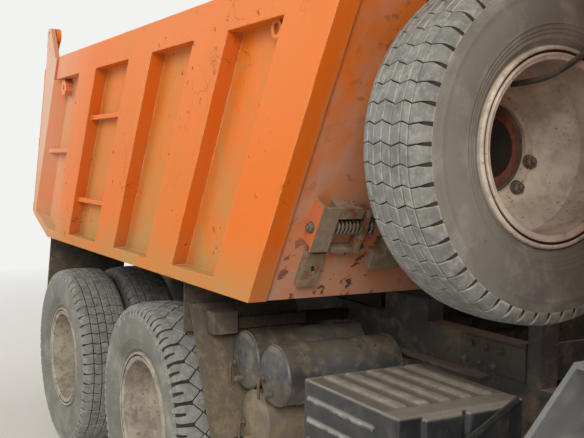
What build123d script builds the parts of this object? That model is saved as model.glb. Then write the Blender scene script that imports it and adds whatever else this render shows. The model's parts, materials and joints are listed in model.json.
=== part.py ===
from build123d import *
import os
from math import cos, hypot, radians, sin

# Three-axle dump truck, millimetres, +X forward, +Y to its left, +Z up.
# The origin is on the ground, in the middle of the truck's length and width.

os.makedirs("parts", exist_ok=True)

# Whole vehicle
LENGTH = 6620
BED_WIDTH = 2500
WHEELBASE = 3190
TANDEM = 1320
FRONT_OVERHANG = 1350
FRONT_TRACK = 2040
REAR_TRACK = 1890
TWIN_PITCH = 310

FRONT_X = LENGTH / 2
AXLE_X = FRONT_X - FRONT_OVERHANG
MIDDLE_X = AXLE_X - WHEELBASE
REAR_X = MIDDLE_X - TANDEM
BOGIE_X = (MIDDLE_X + REAR_X) / 2

# Tyres and disc wheels
TYRE_R = 520
TYRE_W = 280
TREAD_W = 236
SEAT_R = 262
FLANGE_R = 290
RIM_W = 224
RIM_WALL = 12
DISC_T = 14
DISC_FACE_R = 182
HUB_BORE_R = 140
SEAT_GAP = 0.3
AXLE_Z = TYRE_R

# Frame
RAIL_Y = 430
RAIL_FLANGE = 80
RAIL_H = 250
RAIL_T = 8
RAIL_TOP = 950
RAIL_REAR = MIDDLE_X - 1940
RAIL_FRONT = FRONT_X - 140
SUB_H = 130
SUB_TOP = RAIL_TOP + SUB_H
SUB_FRONT = MIDDLE_X + 1590
SUB_REAR = MIDDLE_X - 1830

# Cab
CAB_REAR = AXLE_X - 650
CAB_FRONT = FRONT_X - 80
CAB_Z = 1330
CAB_TOP = 2850
CAB_Y = 1200
CAB_WALL = 50
BELT_Z = CAB_Z + 500
ROOF_LOW = CAB_TOP - 150
HEAD_Z = ROOF_LOW - 80
DOOR_REAR = AXLE_X - 10
DOOR_FRONT = AXLE_X + 980
DOOR_GAP = 6

# Tipping body. LEAN is how far the walls run forward for each millimetre up.
LEAN = 0.565
GATE_LEAN = 0.36
BED_Z = 1215
BED_FRONT = MIDDLE_X + 1120
BED_BEVEL = MIDDLE_X - 1560
BED_REAR = MIDDLE_X - 1910
BEVEL_RISE = 125
SHEET = 8
STAKE_D = 65
SILL_H = 52
SILL_REAR_H = 30
RAIL_LOW = 2155
BED_TOP = 2280
BODY_GAP = 5
HALF = BED_WIDTH / 2
PANEL_Y = HALF - STAKE_D
INNER_Y = PANEL_Y - SHEET
WALL_TOP = CAB_TOP + 125
VISOR_REACH = 900
VISOR_RISE = 40
PIVOT_X = MIDDLE_X - 1770
PIVOT_Z = 1010
GATE_PIN_X = MIDDLE_X - 1505
GATE_PIN_Z = 2425
GATE_T = 75

# Hoist: three rams in a barrel, closed length between the trunnion and the ball
HOIST_X = MIDDLE_X + 430
HOIST_Z = 440
BALL_X = MIDDLE_X + 300
BALL_Z = 1150
BALL_R = 45
BARREL_R = 88


# Shapes that many pieces share

def side_plate(points, y_low, y_high, mode=Mode.ADD):
    """A plate with its outline in X and Z, between two Y values."""
    with BuildSketch(Plane.XZ.offset(-y_high)) as outline:
        Polygon(*points, align=None)
    extrude(outline.sketch, amount=y_high - y_low, mode=mode)


def end_plate(points, x_low, x_high, mode=Mode.ADD):
    """A plate with its outline in Y and Z, between two X values."""
    with BuildSketch(Plane.YZ.offset(x_low)) as outline:
        Polygon(*points, align=None)
    extrude(outline.sketch, amount=x_high - x_low, mode=mode)


def level_plate(points, z_low, z_high, mode=Mode.ADD):
    """A plate with its outline in X and Y, between two Z values."""
    with BuildSketch(Plane.XY.offset(z_low)) as outline:
        Polygon(*points, align=None)
    extrude(outline.sketch, amount=z_high - z_low, mode=mode)


def block(x_low, x_high, y_low, y_high, z_low, z_high, mode=Mode.ADD):
    """A box between three pairs of values."""
    corners = [(x_low, y_low), (x_high, y_low), (x_high, y_high), (x_low, y_high)]
    level_plate(corners, z_low, z_high, mode)


def cross_rod(x, z, radius, y_low, y_high, mode=Mode.ADD):
    """A round bar along Y."""
    with BuildSketch(Plane.XZ.offset(-y_high)) as disc:
        with Locations((x, z)):
            Circle(radius)
    extrude(disc.sketch, amount=y_high - y_low, mode=mode)


def upright(x, y, radius, z_low, z_high, mode=Mode.ADD):
    """A round bar along Z."""
    with BuildSketch(Plane.XY.offset(z_low)) as disc:
        with Locations((x, y)):
            Circle(radius)
    extrude(disc.sketch, amount=z_high - z_low, mode=mode)


def turned(profile, x, z, mode=Mode.ADD):
    """A solid turned about a line along Y, from (y, radius) points."""
    with BuildSketch(Plane.YZ.offset(x)) as section:
        Polygon(*[(y, z + radius) for y, radius in profile], align=None)
    revolve(section.sketch, axis=Axis((x, 0, z), (0, 1, 0)), mode=mode)


def turned_on_x(profile, y, z, mode=Mode.ADD):
    """A solid turned about a line along X, from (x, radius) points."""
    with BuildSketch(Plane.XZ.offset(-y)) as section:
        Polygon(*[(x, z + radius) for x, radius in profile], align=None)
    revolve(section.sketch, axis=Axis((0, y, z), (1, 0, 0)), mode=mode)


def save(part, label):
    """Name a finished piece and write it out."""
    part.label = label
    export_step(part, f"parts/{label}.step")


# Tyre and wheel sections as (across, radius), across being 0 in the tyre's middle.
# BEAD is how far the tyre's foot stands in from the flange.
BEAD = 9

tyre_section = [
    (-RIM_W / 2 + RIM_WALL + BEAD, SEAT_R + SEAT_GAP),
    (-RIM_W / 2 + RIM_WALL - 1, FLANGE_R),
    (-TYRE_W / 2, FLANGE_R + 110),
    (-TREAD_W / 2, TYRE_R - 16),
    (-TREAD_W / 4, TYRE_R),
    (TREAD_W / 4, TYRE_R),
    (TREAD_W / 2, TYRE_R - 16),
    (TYRE_W / 2, FLANGE_R + 110),
    (RIM_W / 2 - RIM_WALL + 1, FLANGE_R),
    (RIM_W / 2 - RIM_WALL - BEAD, SEAT_R + SEAT_GAP),
]

# The disc's mounting face lies half a twin pitch behind the middle of its rim.
DISH = TWIN_PITCH / 2
BARREL_IN = SEAT_R - RIM_WALL
wheel_section = [
    (RIM_W / 2, FLANGE_R),
    (RIM_W / 2 - RIM_WALL + 2, FLANGE_R),
    (RIM_W / 2 - RIM_WALL - 8, SEAT_R),
    (-RIM_W / 2 + RIM_WALL + 8, SEAT_R),
    (-RIM_W / 2 + RIM_WALL - 2, FLANGE_R),
    (-RIM_W / 2, FLANGE_R),
    (-RIM_W / 2, BARREL_IN),
    (-RIM_W / 5, BARREL_IN),
    (-DISH, DISC_FACE_R),
    (-DISH, HUB_BORE_R),
    (-DISH + DISC_T, HUB_BORE_R),
    (-DISH + DISC_T, DISC_FACE_R - 8),
    (-RIM_W / 12, BARREL_IN),
    (RIM_W / 2, BARREL_IN + 2),
]


# Two long hand holes through the disc's cone, bent round a circle
HAND_R = 203
HAND_WIDE = 32
HAND_ARC = 42
HAND_START = -44


def hand_holes(plane, depth):
    """Cut the hand holes from a plane across the wheel's axis, this deep along its normal."""
    with BuildSketch(plane) as slots:
        for start in (HAND_START, HAND_START + 180):
            SlotArc(CenterArc((0, 0), HAND_R, start, HAND_ARC), HAND_WIDE)
    extrude(slots.sketch, amount=depth, mode=Mode.SUBTRACT)


def across_y(section, middle, outward):
    """Place a section along Y; outward is +1 or -1."""
    return [(middle + outward * across, radius) for across, radius in section]


# Frame rails: two channels, open inwards
RAIL_LOW_Z = RAIL_TOP - RAIL_H
RAIL_IN = RAIL_Y - RAIL_FLANGE
SHELF_W = 50
SHELF_T = 10
with BuildPart() as frame_rails:
    for side in (-1, 1):
        channel = [
            (side * RAIL_Y, RAIL_LOW_Z),
            (side * RAIL_IN, RAIL_LOW_Z),
            (side * RAIL_IN, RAIL_LOW_Z + RAIL_T),
            (side * (RAIL_Y - RAIL_T), RAIL_LOW_Z + RAIL_T),
            (side * (RAIL_Y - RAIL_T), RAIL_TOP - RAIL_T),
            (side * RAIL_IN, RAIL_TOP - RAIL_T),
            (side * RAIL_IN, RAIL_TOP),
            (side * RAIL_Y, RAIL_TOP),
        ]
        end_plate(channel, RAIL_REAR, RAIL_FRONT)
    # A shelf angle along the right rail, above the tanks' and the battery box's brackets
    block(BED_FRONT - 215, BED_FRONT + 320, -RAIL_Y - SHELF_W, -RAIL_Y, RAIL_TOP - SHELF_T - 4, RAIL_TOP - 4)
    block(BED_FRONT - 215, BED_FRONT + 320, -RAIL_Y - 8, -RAIL_Y, RAIL_TOP - 45, RAIL_TOP - SHELF_T - 4)
save(frame_rails.part, "frame_rails")

# Crossmembers between the webs, and the cradle that carries the hoist's trunnion
WEB_Y = RAIL_Y - RAIL_T
CROSS_W = 90
CROSS_LOW = 790
CRADLE_LOW = HOIST_Z - 110
CRADLE_T = 20
LUG_Y = BARREL_R + 12
TRUNNION_R = 32
ENGINE_REAR = AXLE_X - 620
ENGINE_FRONT = AXLE_X + 680
ENGINE_Y = 300
ENGINE_LOW = 640
ENGINE_TOP = CAB_Z - 45
cross_places = [RAIL_REAR + 70, BOGIE_X, HOIST_X + 380, BED_FRONT + 570, RAIL_FRONT - 120]
with BuildPart() as crossmembers:
    for x in cross_places:
        block(x - CROSS_W / 2, x + CROSS_W / 2, -WEB_Y, WEB_Y, CROSS_LOW, RAIL_TOP - RAIL_T)
    for side in (-1, 1):
        leg = sorted((side * RAIL_IN, side * (RAIL_IN - CRADLE_T)))
        block(HOIST_X - 70, HOIST_X + 70, *leg, CRADLE_LOW, RAIL_TOP - 2 * RAIL_T)
        lug = sorted((side * LUG_Y, side * (LUG_Y + CRADLE_T)))
        block(HOIST_X - 50, HOIST_X + 50, *lug, CRADLE_LOW, HOIST_Z + 50)
        cross_rod(HOIST_X, HOIST_Z, TRUNNION_R + SEAT_GAP, *lug, mode=Mode.SUBTRACT)
    block(HOIST_X - 70, HOIST_X + 70, -RAIL_IN, RAIL_IN, CRADLE_LOW - CRADLE_T, CRADLE_LOW)
    block(RAIL_REAR, RAIL_REAR + 70, -RAIL_IN, RAIL_IN, CROSS_LOW, RAIL_TOP - 2 * RAIL_T)
    for x in (ENGINE_REAR + 120, ENGINE_FRONT - 200):
        for side in (-1, 1):
            engine_mount = sorted((side * ENGINE_Y, side * WEB_Y))
            block(x, x + 90, *engine_mount, CROSS_LOW, CROSS_LOW + 60)
    hook = [
        (RAIL_REAR, CROSS_LOW + 20),
        (RAIL_REAR, CROSS_LOW + 110),
        (-FRONT_X + 70, CROSS_LOW + 110),
        (-FRONT_X + 52, CROSS_LOW + 66),
        (-FRONT_X + 28, CROSS_LOW + 66),
        (-FRONT_X + 18, CROSS_LOW + 100),
        (-FRONT_X, CROSS_LOW + 100),
        (-FRONT_X + 12, CROSS_LOW + 40),
        (-FRONT_X + 40, CROSS_LOW + 20),
    ]
    side_plate(hook, -22, 22)
save(crossmembers.part, "crossmembers")

# Sub-frame: two box beams on the rails, bosses for the body's hinge, pads at its front
PAD_REAR = SUB_FRONT - 790
PAD_FRONT = SUB_FRONT - 510
PAD_H = 85
HINGE_R = 58
HINGE_PIN_R = 28
HINGE_EAR_T = 28
with BuildPart() as subframe:
    for side in (-1, 1):
        beam = sorted((side * RAIL_IN, side * RAIL_Y))
        block(SUB_REAR, SUB_FRONT, *beam, RAIL_TOP, SUB_TOP)
        block(PAD_REAR, PAD_FRONT, *beam, SUB_TOP, SUB_TOP + PAD_H)
        block(SUB_FRONT, SUB_FRONT + 16, *beam, RAIL_TOP, SUB_TOP + 12)
        boss = sorted((side * RAIL_IN, side * RAIL_Y))
        cross_rod(PIVOT_X, PIVOT_Z, HINGE_R, *boss)
        pin = sorted((side * RAIL_Y, side * (RAIL_Y + HINGE_EAR_T + 22)))
        cross_rod(PIVOT_X, PIVOT_Z, HINGE_PIN_R, *pin)
    block(SUB_FRONT, SUB_FRONT + 16, -RAIL_IN, RAIL_IN, RAIL_TOP, SUB_TOP)
save(subframe.part, "subframe")

# Engine as one plain block, and the gearbox behind it
with BuildPart() as engine_block:
    block(ENGINE_REAR, ENGINE_FRONT, -ENGINE_Y, ENGINE_Y, ENGINE_LOW, ENGINE_TOP)
save(engine_block.part, "engine_block")

# Gearbox with its bell housing, and the shafts to both rear axles
SHAFT_Y = 190
SHAFT_R = 40
BOX_REAR = ENGINE_REAR - 720
PINION_Z = AXLE_Z + 90
NOSE = 330
SHAFT_CLEAR = 2.2
with BuildPart() as drive_line:
    bell = [
        (ENGINE_REAR, 230),
        (ENGINE_REAR - 180, 160),
        (BOX_REAR, 150),
        (BOX_REAR, 0),
        (ENGINE_REAR, 0),
    ]
    turned_on_x(bell, 0, 800)
    block(BOX_REAR, BOX_REAR + 160, -110, SHAFT_Y + 70, 620, 800)
    start = Vector(BOX_REAR, SHAFT_Y, 700)
    finish = Vector(MIDDLE_X + NOSE + SHAFT_CLEAR, SHAFT_Y, PINION_Z)
    with BuildSketch(Plane(origin=start, z_dir=finish - start)) as shaft:
        Circle(SHAFT_R)
    extrude(shaft.sketch, amount=(finish - start).length)
    cross = SHAFT_R * 0.8
    block(REAR_X + NOSE, MIDDLE_X - NOSE, SHAFT_Y - cross, SHAFT_Y + cross, PINION_Z - cross, PINION_Z + cross)
save(drive_line.part, "drive_line")

# Axles: a dropped I-beam in front, banjo housings behind
KING_Y = FRONT_TRACK / 2 - 150
KING_R = 26
EYE_H = 150
BEAM_W = 100
BEAM_DROP = 90
SPINDLE_R = 60
HUB_BACK = -190
HOUSING_END = REAR_TRACK / 2 + HUB_BACK - 12
SPINDLE_END = REAR_TRACK / 2 + 40
REAR_SPRING_Y = RAIL_Y + 110
SPRING_W = 76
SADDLE = 80
SADDLE_TOP = AXLE_Z + 92
with BuildPart() as axles:
    beam_side = [
        (KING_Y - 62, AXLE_Z + 60),
        (KING_Y - 62, AXLE_Z - 50),
        (KING_Y - 150, AXLE_Z - 60),
        (RAIL_Y + 60, AXLE_Z - BEAM_DROP - 55),
    ]
    beam_top = [
        (RAIL_Y + 60, AXLE_Z - BEAM_DROP + 50),
        (KING_Y - 150, AXLE_Z + 60),
    ]
    mirrored = [(-y, z) for y, z in beam_top + beam_side]
    outline = beam_top + beam_side + list(reversed(mirrored))
    end_plate(outline, AXLE_X - BEAM_W / 2, AXLE_X + BEAM_W / 2)
    for side in (-1, 1):
        with BuildSketch(Plane.XY.offset(AXLE_Z - EYE_H / 2 + 5)) as eye:
            with Locations((AXLE_X, side * KING_Y)):
                Circle(62)
        extrude(eye.sketch, amount=EYE_H - 10)
        with BuildSketch(Plane.XY.offset(AXLE_Z - EYE_H / 2)) as king:
            with Locations((AXLE_X, side * KING_Y)):
                Circle(KING_R + SEAT_GAP)
        extrude(king.sketch, amount=EYE_H, mode=Mode.SUBTRACT)
    for x in (MIDDLE_X, REAR_X):
        housing = [
            (-HOUSING_END, 0),
            (-HOUSING_END, 82),
            (-260, 95),
            (-150, 200),
            (150, 200),
            (260, 95),
            (HOUSING_END, 82),
            (HOUSING_END, 0),
        ]
        turned(housing, x, AXLE_Z)
        for side in (-1, 1):
            spindle = sorted((side * HOUSING_END, side * SPINDLE_END))
            cross_rod(x, AXLE_Z, SPINDLE_R, *spindle)
        for side in (-1, 1):
            saddle = sorted((side * (REAR_SPRING_Y - SPRING_W / 2), side * (REAR_SPRING_Y + SPRING_W / 2)))
            block(x - SADDLE / 2, x + SADDLE / 2, *saddle, AXLE_Z, SADDLE_TOP - SEAT_GAP)
    for x, nose_front in ((MIDDLE_X, MIDDLE_X + NOSE), (MIDDLE_X, MIDDLE_X - NOSE), (REAR_X, REAR_X + NOSE)):
        low, high = sorted((x, nose_front))
        block(low, high, SHAFT_Y - 75, SHAFT_Y + 75, PINION_Z - 75, PINION_Z + 75)
save(axles.part, "axles")

# Leaf springs
LEAF_T = 14
FRONT_LEAVES = 7
REAR_LEAVES = 9


def leaf_pack(x, middle_z, end_rise, half_length, shortest, leaves, y_low, y_high):
    """Leaves stacked under the longest one, as one stepped outline."""

    def height(reach, drop):
        return middle_z + end_rise * (reach / half_length) ** 2 - drop

    half = [(half_length * part, height(half_length * part, -LEAF_T)) for part in (0, 0.25, 0.5, 0.75, 1)]
    step = (half_length - shortest) / leaves
    for number in range(leaves):
        reach = half_length - step * number
        half.append((reach, height(reach, LEAF_T * number)))
        if number < leaves - 1:
            half.append((reach - step, height(reach - step, LEAF_T * number)))
    half.append((0, height(0, LEAF_T * (leaves - 1))))
    outline = [(x + reach, z) for reach, z in half]
    outline += [(x - reach, z) for reach, z in reversed(half[1:-1])]
    side_plate(outline, y_low, y_high)


AXLE_TOP = AXLE_Z + 82
with BuildPart() as leaf_springs:
    for side in (-1, 1):
        front_y = sorted((side * RAIL_IN, side * (RAIL_IN + SPRING_W)))
        leaf_pack(AXLE_X, RAIL_LOW_Z - 75, 55, 700, 200, FRONT_LEAVES, *front_y)
        seat_low = AXLE_Z - BEAM_DROP + 50
        seat_high = RAIL_LOW_Z - 75 - (FRONT_LEAVES - 1) * LEAF_T
        block(AXLE_X - 90, AXLE_X + 90, *front_y, seat_low, seat_high + 2)
        for end in (-1, 1):
            shackle = AXLE_X + end * 670
            block(shackle - 40, shackle + 40, *front_y, RAIL_LOW_Z - 12, RAIL_LOW_Z)
        rear_y = sorted((side * (REAR_SPRING_Y - SPRING_W / 2), side * (REAR_SPRING_Y + SPRING_W / 2)))
        leaf_pack(BOGIE_X, AXLE_TOP + 95, -80, TANDEM / 2 + 60, 240, REAR_LEAVES, *rear_y)
        for x in (MIDDLE_X, REAR_X):
            block(x - SADDLE / 2, x + SADDLE / 2, *rear_y, SADDLE_TOP, SADDLE_TOP + 24)
        trunnion = sorted((side * RAIL_Y, side * (REAR_SPRING_Y + SPRING_W / 2)))
        block(BOGIE_X - 95, BOGIE_X + 95, *trunnion, AXLE_TOP - 150, AXLE_TOP + 5)
        hanger = sorted((side * RAIL_Y, side * (RAIL_Y + 60)))
        side_points = [
            (BOGIE_X - 95, AXLE_TOP - 150),
            (BOGIE_X + 95, AXLE_TOP - 150),
            (BOGIE_X + 170, RAIL_TOP - 40),
            (BOGIE_X - 170, RAIL_TOP - 40),
        ]
        side_plate(side_points, *hanger)
save(leaf_springs.part, "leaf_springs")

# Fuel tank on the left: a rounded tank on two brackets
TANK_REAR = BED_FRONT + 70
TANK_FRONT = AXLE_X - 1000
TANK_OUT = 1150
TANK_IN = 620
TANK_LOW = 470
TANK_TOP = 980
with BuildPart() as fuel_tank:
    block(TANK_REAR, TANK_FRONT, TANK_IN, TANK_OUT, TANK_LOW, TANK_TOP)
    fillet(fuel_tank.edges().filter_by(Axis.X), 90)
    for x in (TANK_REAR + 200, TANK_FRONT - 260):
        block(x, x + 60, RAIL_Y, TANK_IN + 20, TANK_LOW + 120, RAIL_TOP - 20)
save(fuel_tank.part, "fuel_tank")

# Three air tanks across the right side, as (x, z) of their axes
AIR_R = 115
AIR_OUT = 1055
AIR_IN = 490
DOME = 28
STRAP_Y = (-950, -660)
STRAP_W = 40
STRAP_T = 4
air_axes = [
    (BED_FRONT - 190, 895),
    (BED_FRONT - 430, 905),
    (BED_FRONT - 345, 686),
]
with BuildPart() as air_tanks:
    for x, z in air_axes:
        shell = [
            (-AIR_OUT, 0),
            (-AIR_OUT + 4, AIR_R * 0.45),
            (-AIR_OUT + 12, AIR_R * 0.8),
            (-AIR_OUT + 20, AIR_R * 0.96),
            (-AIR_OUT + DOME, AIR_R),
            (-AIR_IN - DOME, AIR_R),
            (-AIR_IN - 20, AIR_R * 0.96),
            (-AIR_IN - 12, AIR_R * 0.8),
            (-AIR_IN - 4, AIR_R * 0.45),
            (-AIR_IN, 0),
        ]
        turned(shell, x, z)
        for y in STRAP_Y:
            strap = [(y, AIR_R - 2), (y, AIR_R + STRAP_T), (y + STRAP_W, AIR_R + STRAP_T), (y + STRAP_W, AIR_R - 2)]
            turned(strap, x, z)
        cross_rod(x, z - AIR_R * 0.62, 11, -AIR_OUT - 22, -AIR_OUT + DOME)
    first_x, first_z = air_axes[0]
    second_x, second_z = air_axes[1]
    third_x, third_z = air_axes[2]
    hanger = [
        (second_x - 20, second_z),
        (third_x, third_z),
        (first_x + 20, first_z),
    ]
    for y in (-AIR_IN - 120, -AIR_IN - 330):
        side_plate(hanger, y - 12, y + 12)
    block(third_x - 30, third_x + 30, -AIR_IN - 30, -RAIL_Y, RAIL_LOW_Z + 20, RAIL_TOP - 30)
save(air_tanks.part, "air_tanks")

# Battery box and its moulded lid
BATT_REAR = BED_FRONT + 160
BATT_FRONT = BATT_REAR + 520
BATT_OUT = 1120
BATT_IN = 630
BATT_LOW = 600
BATT_TOP = 980
LID_RIBS = 5
LID_RIB_W = 40
LID_RIB_H = 9
SIDE_RIB = 8
BULGE = 14
with BuildPart() as battery_box:
    block(BATT_REAR, BATT_FRONT, -BATT_OUT, -BATT_IN, BATT_LOW, BATT_TOP)
    fillet(battery_box.edges().group_by(Axis.Z)[-1], 28)
    fillet(battery_box.edges().filter_by(Axis.Z).group_by(Axis.Y)[0], 24)
    lid_pitch = (BATT_OUT - BATT_IN - 70) / LID_RIBS
    for number in range(LID_RIBS):
        y = -BATT_OUT + 35 + lid_pitch * (number + 0.5)
        block(BATT_REAR + 34, BATT_FRONT - 80, y - LID_RIB_W / 2, y + LID_RIB_W / 2, BATT_TOP - 2,
              BATT_TOP + LID_RIB_H)
    for z in (BATT_TOP - 65, BATT_TOP - 135, BATT_TOP - 205):
        block(BATT_REAR + 30, BATT_FRONT - 110, -BATT_OUT - SIDE_RIB, -BATT_OUT, z - 9, z + 9)
    for low_y, high_y in ((-BATT_OUT + 90, -BATT_OUT + 235), (-BATT_OUT + 255, -BATT_OUT + 425)):
        block(BATT_FRONT, BATT_FRONT + BULGE, low_y, high_y, BATT_LOW + 10, BATT_TOP - 30)
    block(BATT_REAR + 40, BATT_FRONT - 40, -BATT_IN, -RAIL_Y, BATT_LOW + 110, BATT_LOW + 190)
save(battery_box.part, "battery_box")

# Spare wheel, upright between the cab and the body, its dish facing forward
SPARE_FACE = BED_FRONT + 832
SPARE_X = SPARE_FACE - RIM_W / 2
SPARE_Y = -700
SPARE_Z = 1750
with BuildPart() as spare_tyre:
    turned_on_x([(SPARE_X + a, r) for a, r in tyre_section], SPARE_Y, SPARE_Z)
save(spare_tyre.part, "spare_tyre")

with BuildPart() as spare_wheel:
    turned_on_x([(SPARE_X + a, r) for a, r in wheel_section], SPARE_Y, SPARE_Z)
    hand_holes(Plane(origin=(SPARE_X - DISH, SPARE_Y, SPARE_Z), x_dir=(0, 1, 0), z_dir=(1, 0, 0)), DISH)
save(spare_wheel.part, "spare_wheel")

CARRIER_X = SPARE_X - DISH
CARRIER_T = 60
CARRIER_H = 80
with BuildPart() as spare_carrier:
    for side in (-1, 1):
        post = sorted((side * RAIL_IN, side * RAIL_Y))
        block(CARRIER_X - CARRIER_T - 10, CARRIER_X - 10, *post, RAIL_TOP, SPARE_Z + CARRIER_H / 2)
    block(CARRIER_X - CARRIER_T - 10, CARRIER_X - 10, SPARE_Y - HUB_BORE_R, RAIL_Y,
          SPARE_Z - CARRIER_H / 2, SPARE_Z + CARRIER_H / 2)
    seat = [(CARRIER_X - 12, 0), (CARRIER_X - 12, DISC_FACE_R - 10), (CARRIER_X, DISC_FACE_R - 10), (CARRIER_X, 0)]
    turned_on_x(seat, SPARE_Y, SPARE_Z)
save(spare_carrier.part, "spare_carrier")

# Bumper with its corners swept back, and the lamps
BUMPER_LOW = 520
BUMPER_H = 330
BUMPER_BACK = 360
BUMPER_T = 60
LAMP_R = 88
LAMP_Y = 930
LAMP_Z = BUMPER_LOW + BUMPER_H * 0.55
bumper_corner = [
    (FRONT_X - BUMPER_BACK, HALF - 10),
    (FRONT_X - 150, HALF - 10),
    (FRONT_X - 40, HALF - 120),
    (FRONT_X, HALF - 360),
]
bumper_inner = [
    (FRONT_X - BUMPER_BACK, HALF - 10 - BUMPER_T),
    (FRONT_X - 175, HALF - 10 - BUMPER_T),
    (FRONT_X - 40 - BUMPER_T, HALF - 150),
    (FRONT_X - BUMPER_T, HALF - 370),
]
with BuildPart() as front_bumper:
    outer_edge = bumper_corner + [(x, -y) for x, y in reversed(bumper_corner)]
    inner_edge = bumper_inner + [(x, -y) for x, y in reversed(bumper_inner)]
    level_plate(outer_edge + list(reversed(inner_edge)), BUMPER_LOW, BUMPER_LOW + BUMPER_H)
    for side in (-1, 1):
        with BuildSketch(Plane.YZ.offset(FRONT_X - 200)) as hole:
            with Locations((side * LAMP_Y, LAMP_Z)):
                Circle(LAMP_R + SEAT_GAP)
        extrude(hole.sketch, amount=220, mode=Mode.SUBTRACT)
        arm = sorted((side * RAIL_IN, side * RAIL_Y))
        block(RAIL_FRONT, FRONT_X - BUMPER_T, *arm, RAIL_LOW_Z + 20, BUMPER_LOW + BUMPER_H)
save(front_bumper.part, "front_bumper")

TAIL_Y = 900
with BuildPart() as lamps:
    for side in (-1, 1):
        headlamp = [
            (FRONT_X - 140, 0),
            (FRONT_X - 140, LAMP_R * 0.5),
            (FRONT_X - 75, LAMP_R),
            (FRONT_X - 35, LAMP_R),
            (FRONT_X - 22, LAMP_R * 0.6),
            (FRONT_X - 18, 0),
        ]
        turned_on_x(headlamp, side * LAMP_Y, LAMP_Z)
        tail = sorted((side * (RAIL_Y + 120), side * (RAIL_Y + 420)))
        block(RAIL_REAR - 50, RAIL_REAR, *tail, RAIL_LOW_Z + 60, RAIL_LOW_Z + 190)
save(lamps.part, "lamps")

# Rear bar that carries the tail lamps, mud flaps and their arms
ARM = 70
FLAP_T = 8
FLAP_OUT = 1170
FLAP_IN = 665
FRONT_FLAP_TOP = (MIDDLE_X + 440, 1100)
FRONT_FLAP_LOW = (MIDDLE_X + 665, 590)
REAR_FLAP_TOP = (REAR_X - 460, 1190)
REAR_FLAP_LOW = (REAR_X - 630, 590)
STAY_X = MIDDLE_X + 355
STAY_TOP = 1185
with BuildPart() as mudguards:
    for side in (-1, 1):
        flap_y = sorted((side * FLAP_IN, side * FLAP_OUT))
        for (top_x, top_z), (low_x, low_z), ahead in (
            (FRONT_FLAP_TOP, FRONT_FLAP_LOW, 1),
            (REAR_FLAP_TOP, REAR_FLAP_LOW, -1),
        ):
            flap = [(top_x, top_z), (low_x, low_z), (low_x + ahead * FLAP_T, low_z), (top_x + ahead * FLAP_T, top_z)]
            side_plate(flap, *flap_y)
        arm_y = sorted((side * RAIL_Y, side * (FLAP_OUT - 70)))
        front_arm = FRONT_FLAP_TOP[0] + 62
        block(front_arm - 14, front_arm + 31, *arm_y, RAIL_TOP + 50, RAIL_TOP + 95)
        arm_box = sorted((side * (FLAP_OUT - 160), side * (FLAP_OUT - 55)))
        block(front_arm - 14, front_arm + ARM, *arm_box, RAIL_TOP + 40, RAIL_TOP + 130)
        stay = sorted((side * (FLAP_IN + 20), side * (FLAP_OUT - 10)))
        block(STAY_X, STAY_X + FLAP_T, *stay, RAIL_TOP + 20, STAY_TOP)
        stay_link = sorted((side * (FLAP_OUT - 130), side * (FLAP_OUT - 80)))
        block(STAY_X, front_arm + 2, *stay_link, RAIL_TOP + 40, RAIL_TOP + 70)
        rear_arm = REAR_FLAP_TOP[0] - 160
        block(rear_arm, rear_arm + ARM, *arm_y, RAIL_TOP - 90, RAIL_TOP - 90 + ARM)
        bar = sorted((side * RAIL_Y, side * (RAIL_Y + 440)))
        block(RAIL_REAR, RAIL_REAR + 20, *bar, RAIL_LOW_Z + 50, RAIL_LOW_Z + 200)
save(mudguards.part, "mudguards")

# Silencer and its pipe, on the left behind the front wheel
MUFFLER_R = 120
MUFFLER_X = AXLE_X - 860
with BuildPart() as exhaust:
    can = [
        (560, 0),
        (560, MUFFLER_R - 25),
        (580, MUFFLER_R),
        (1080, MUFFLER_R),
        (1100, MUFFLER_R - 25),
        (1100, 0),
    ]
    turned(can, MUFFLER_X, RAIL_LOW_Z - 60)
    block(MUFFLER_X - 25, MUFFLER_X + 25, RAIL_Y, 565, RAIL_LOW_Z - 20, RAIL_LOW_Z + 60)
save(exhaust.part, "exhaust")

# Cab floor with the raised engine cover, on four mounts
FLOOR_T = 40
CAB_INNER = CAB_Y - CAB_WALL
COVER_Y = 420
COVER_H = 150
COVER_TOP = CAB_Z + FLOOR_T + COVER_H
PANEL_X = CAB_FRONT - CAB_WALL
with BuildPart() as cab_floor:
    block(CAB_REAR + CAB_WALL, PANEL_X, -CAB_INNER, CAB_INNER, CAB_Z, CAB_Z + FLOOR_T)
    block(CAB_REAR + 200, PANEL_X - 250, -COVER_Y, COVER_Y, CAB_Z + FLOOR_T, CAB_Z + FLOOR_T + COVER_H)
    fillet(cab_floor.edges().group_by(Axis.Z)[-1].filter_by(Axis.X), 60)
    for x in (CAB_REAR + 60, AXLE_X + 760):
        for side in (-1, 1):
            mount = sorted((side * (RAIL_IN + 5), side * (RAIL_Y - 5)))
            block(x, x + 90, *mount, RAIL_TOP, CAB_Z)
save(cab_floor.part, "cab_floor")

# Back wall with two windows
BACK_LOW = BELT_Z + 250
BACK_HIGH = ROOF_LOW - 220
BACK_W = 430
with BuildPart() as cab_back:
    block(CAB_REAR, CAB_REAR + CAB_WALL, -CAB_Y, CAB_Y, CAB_Z, ROOF_LOW)
    fillet(cab_back.edges().filter_by(Axis.Z).group_by(Axis.X)[0], 40)
    for y in (-520, 520):
        with BuildSketch(Plane.YZ.offset(CAB_REAR)) as window:
            with Locations((y, (BACK_LOW + BACK_HIGH) / 2)):
                RectangleRounded(BACK_W, BACK_HIGH - BACK_LOW, 50)
        extrude(window.sketch, amount=CAB_WALL, mode=Mode.SUBTRACT)
save(cab_back.part, "cab_back")

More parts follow.
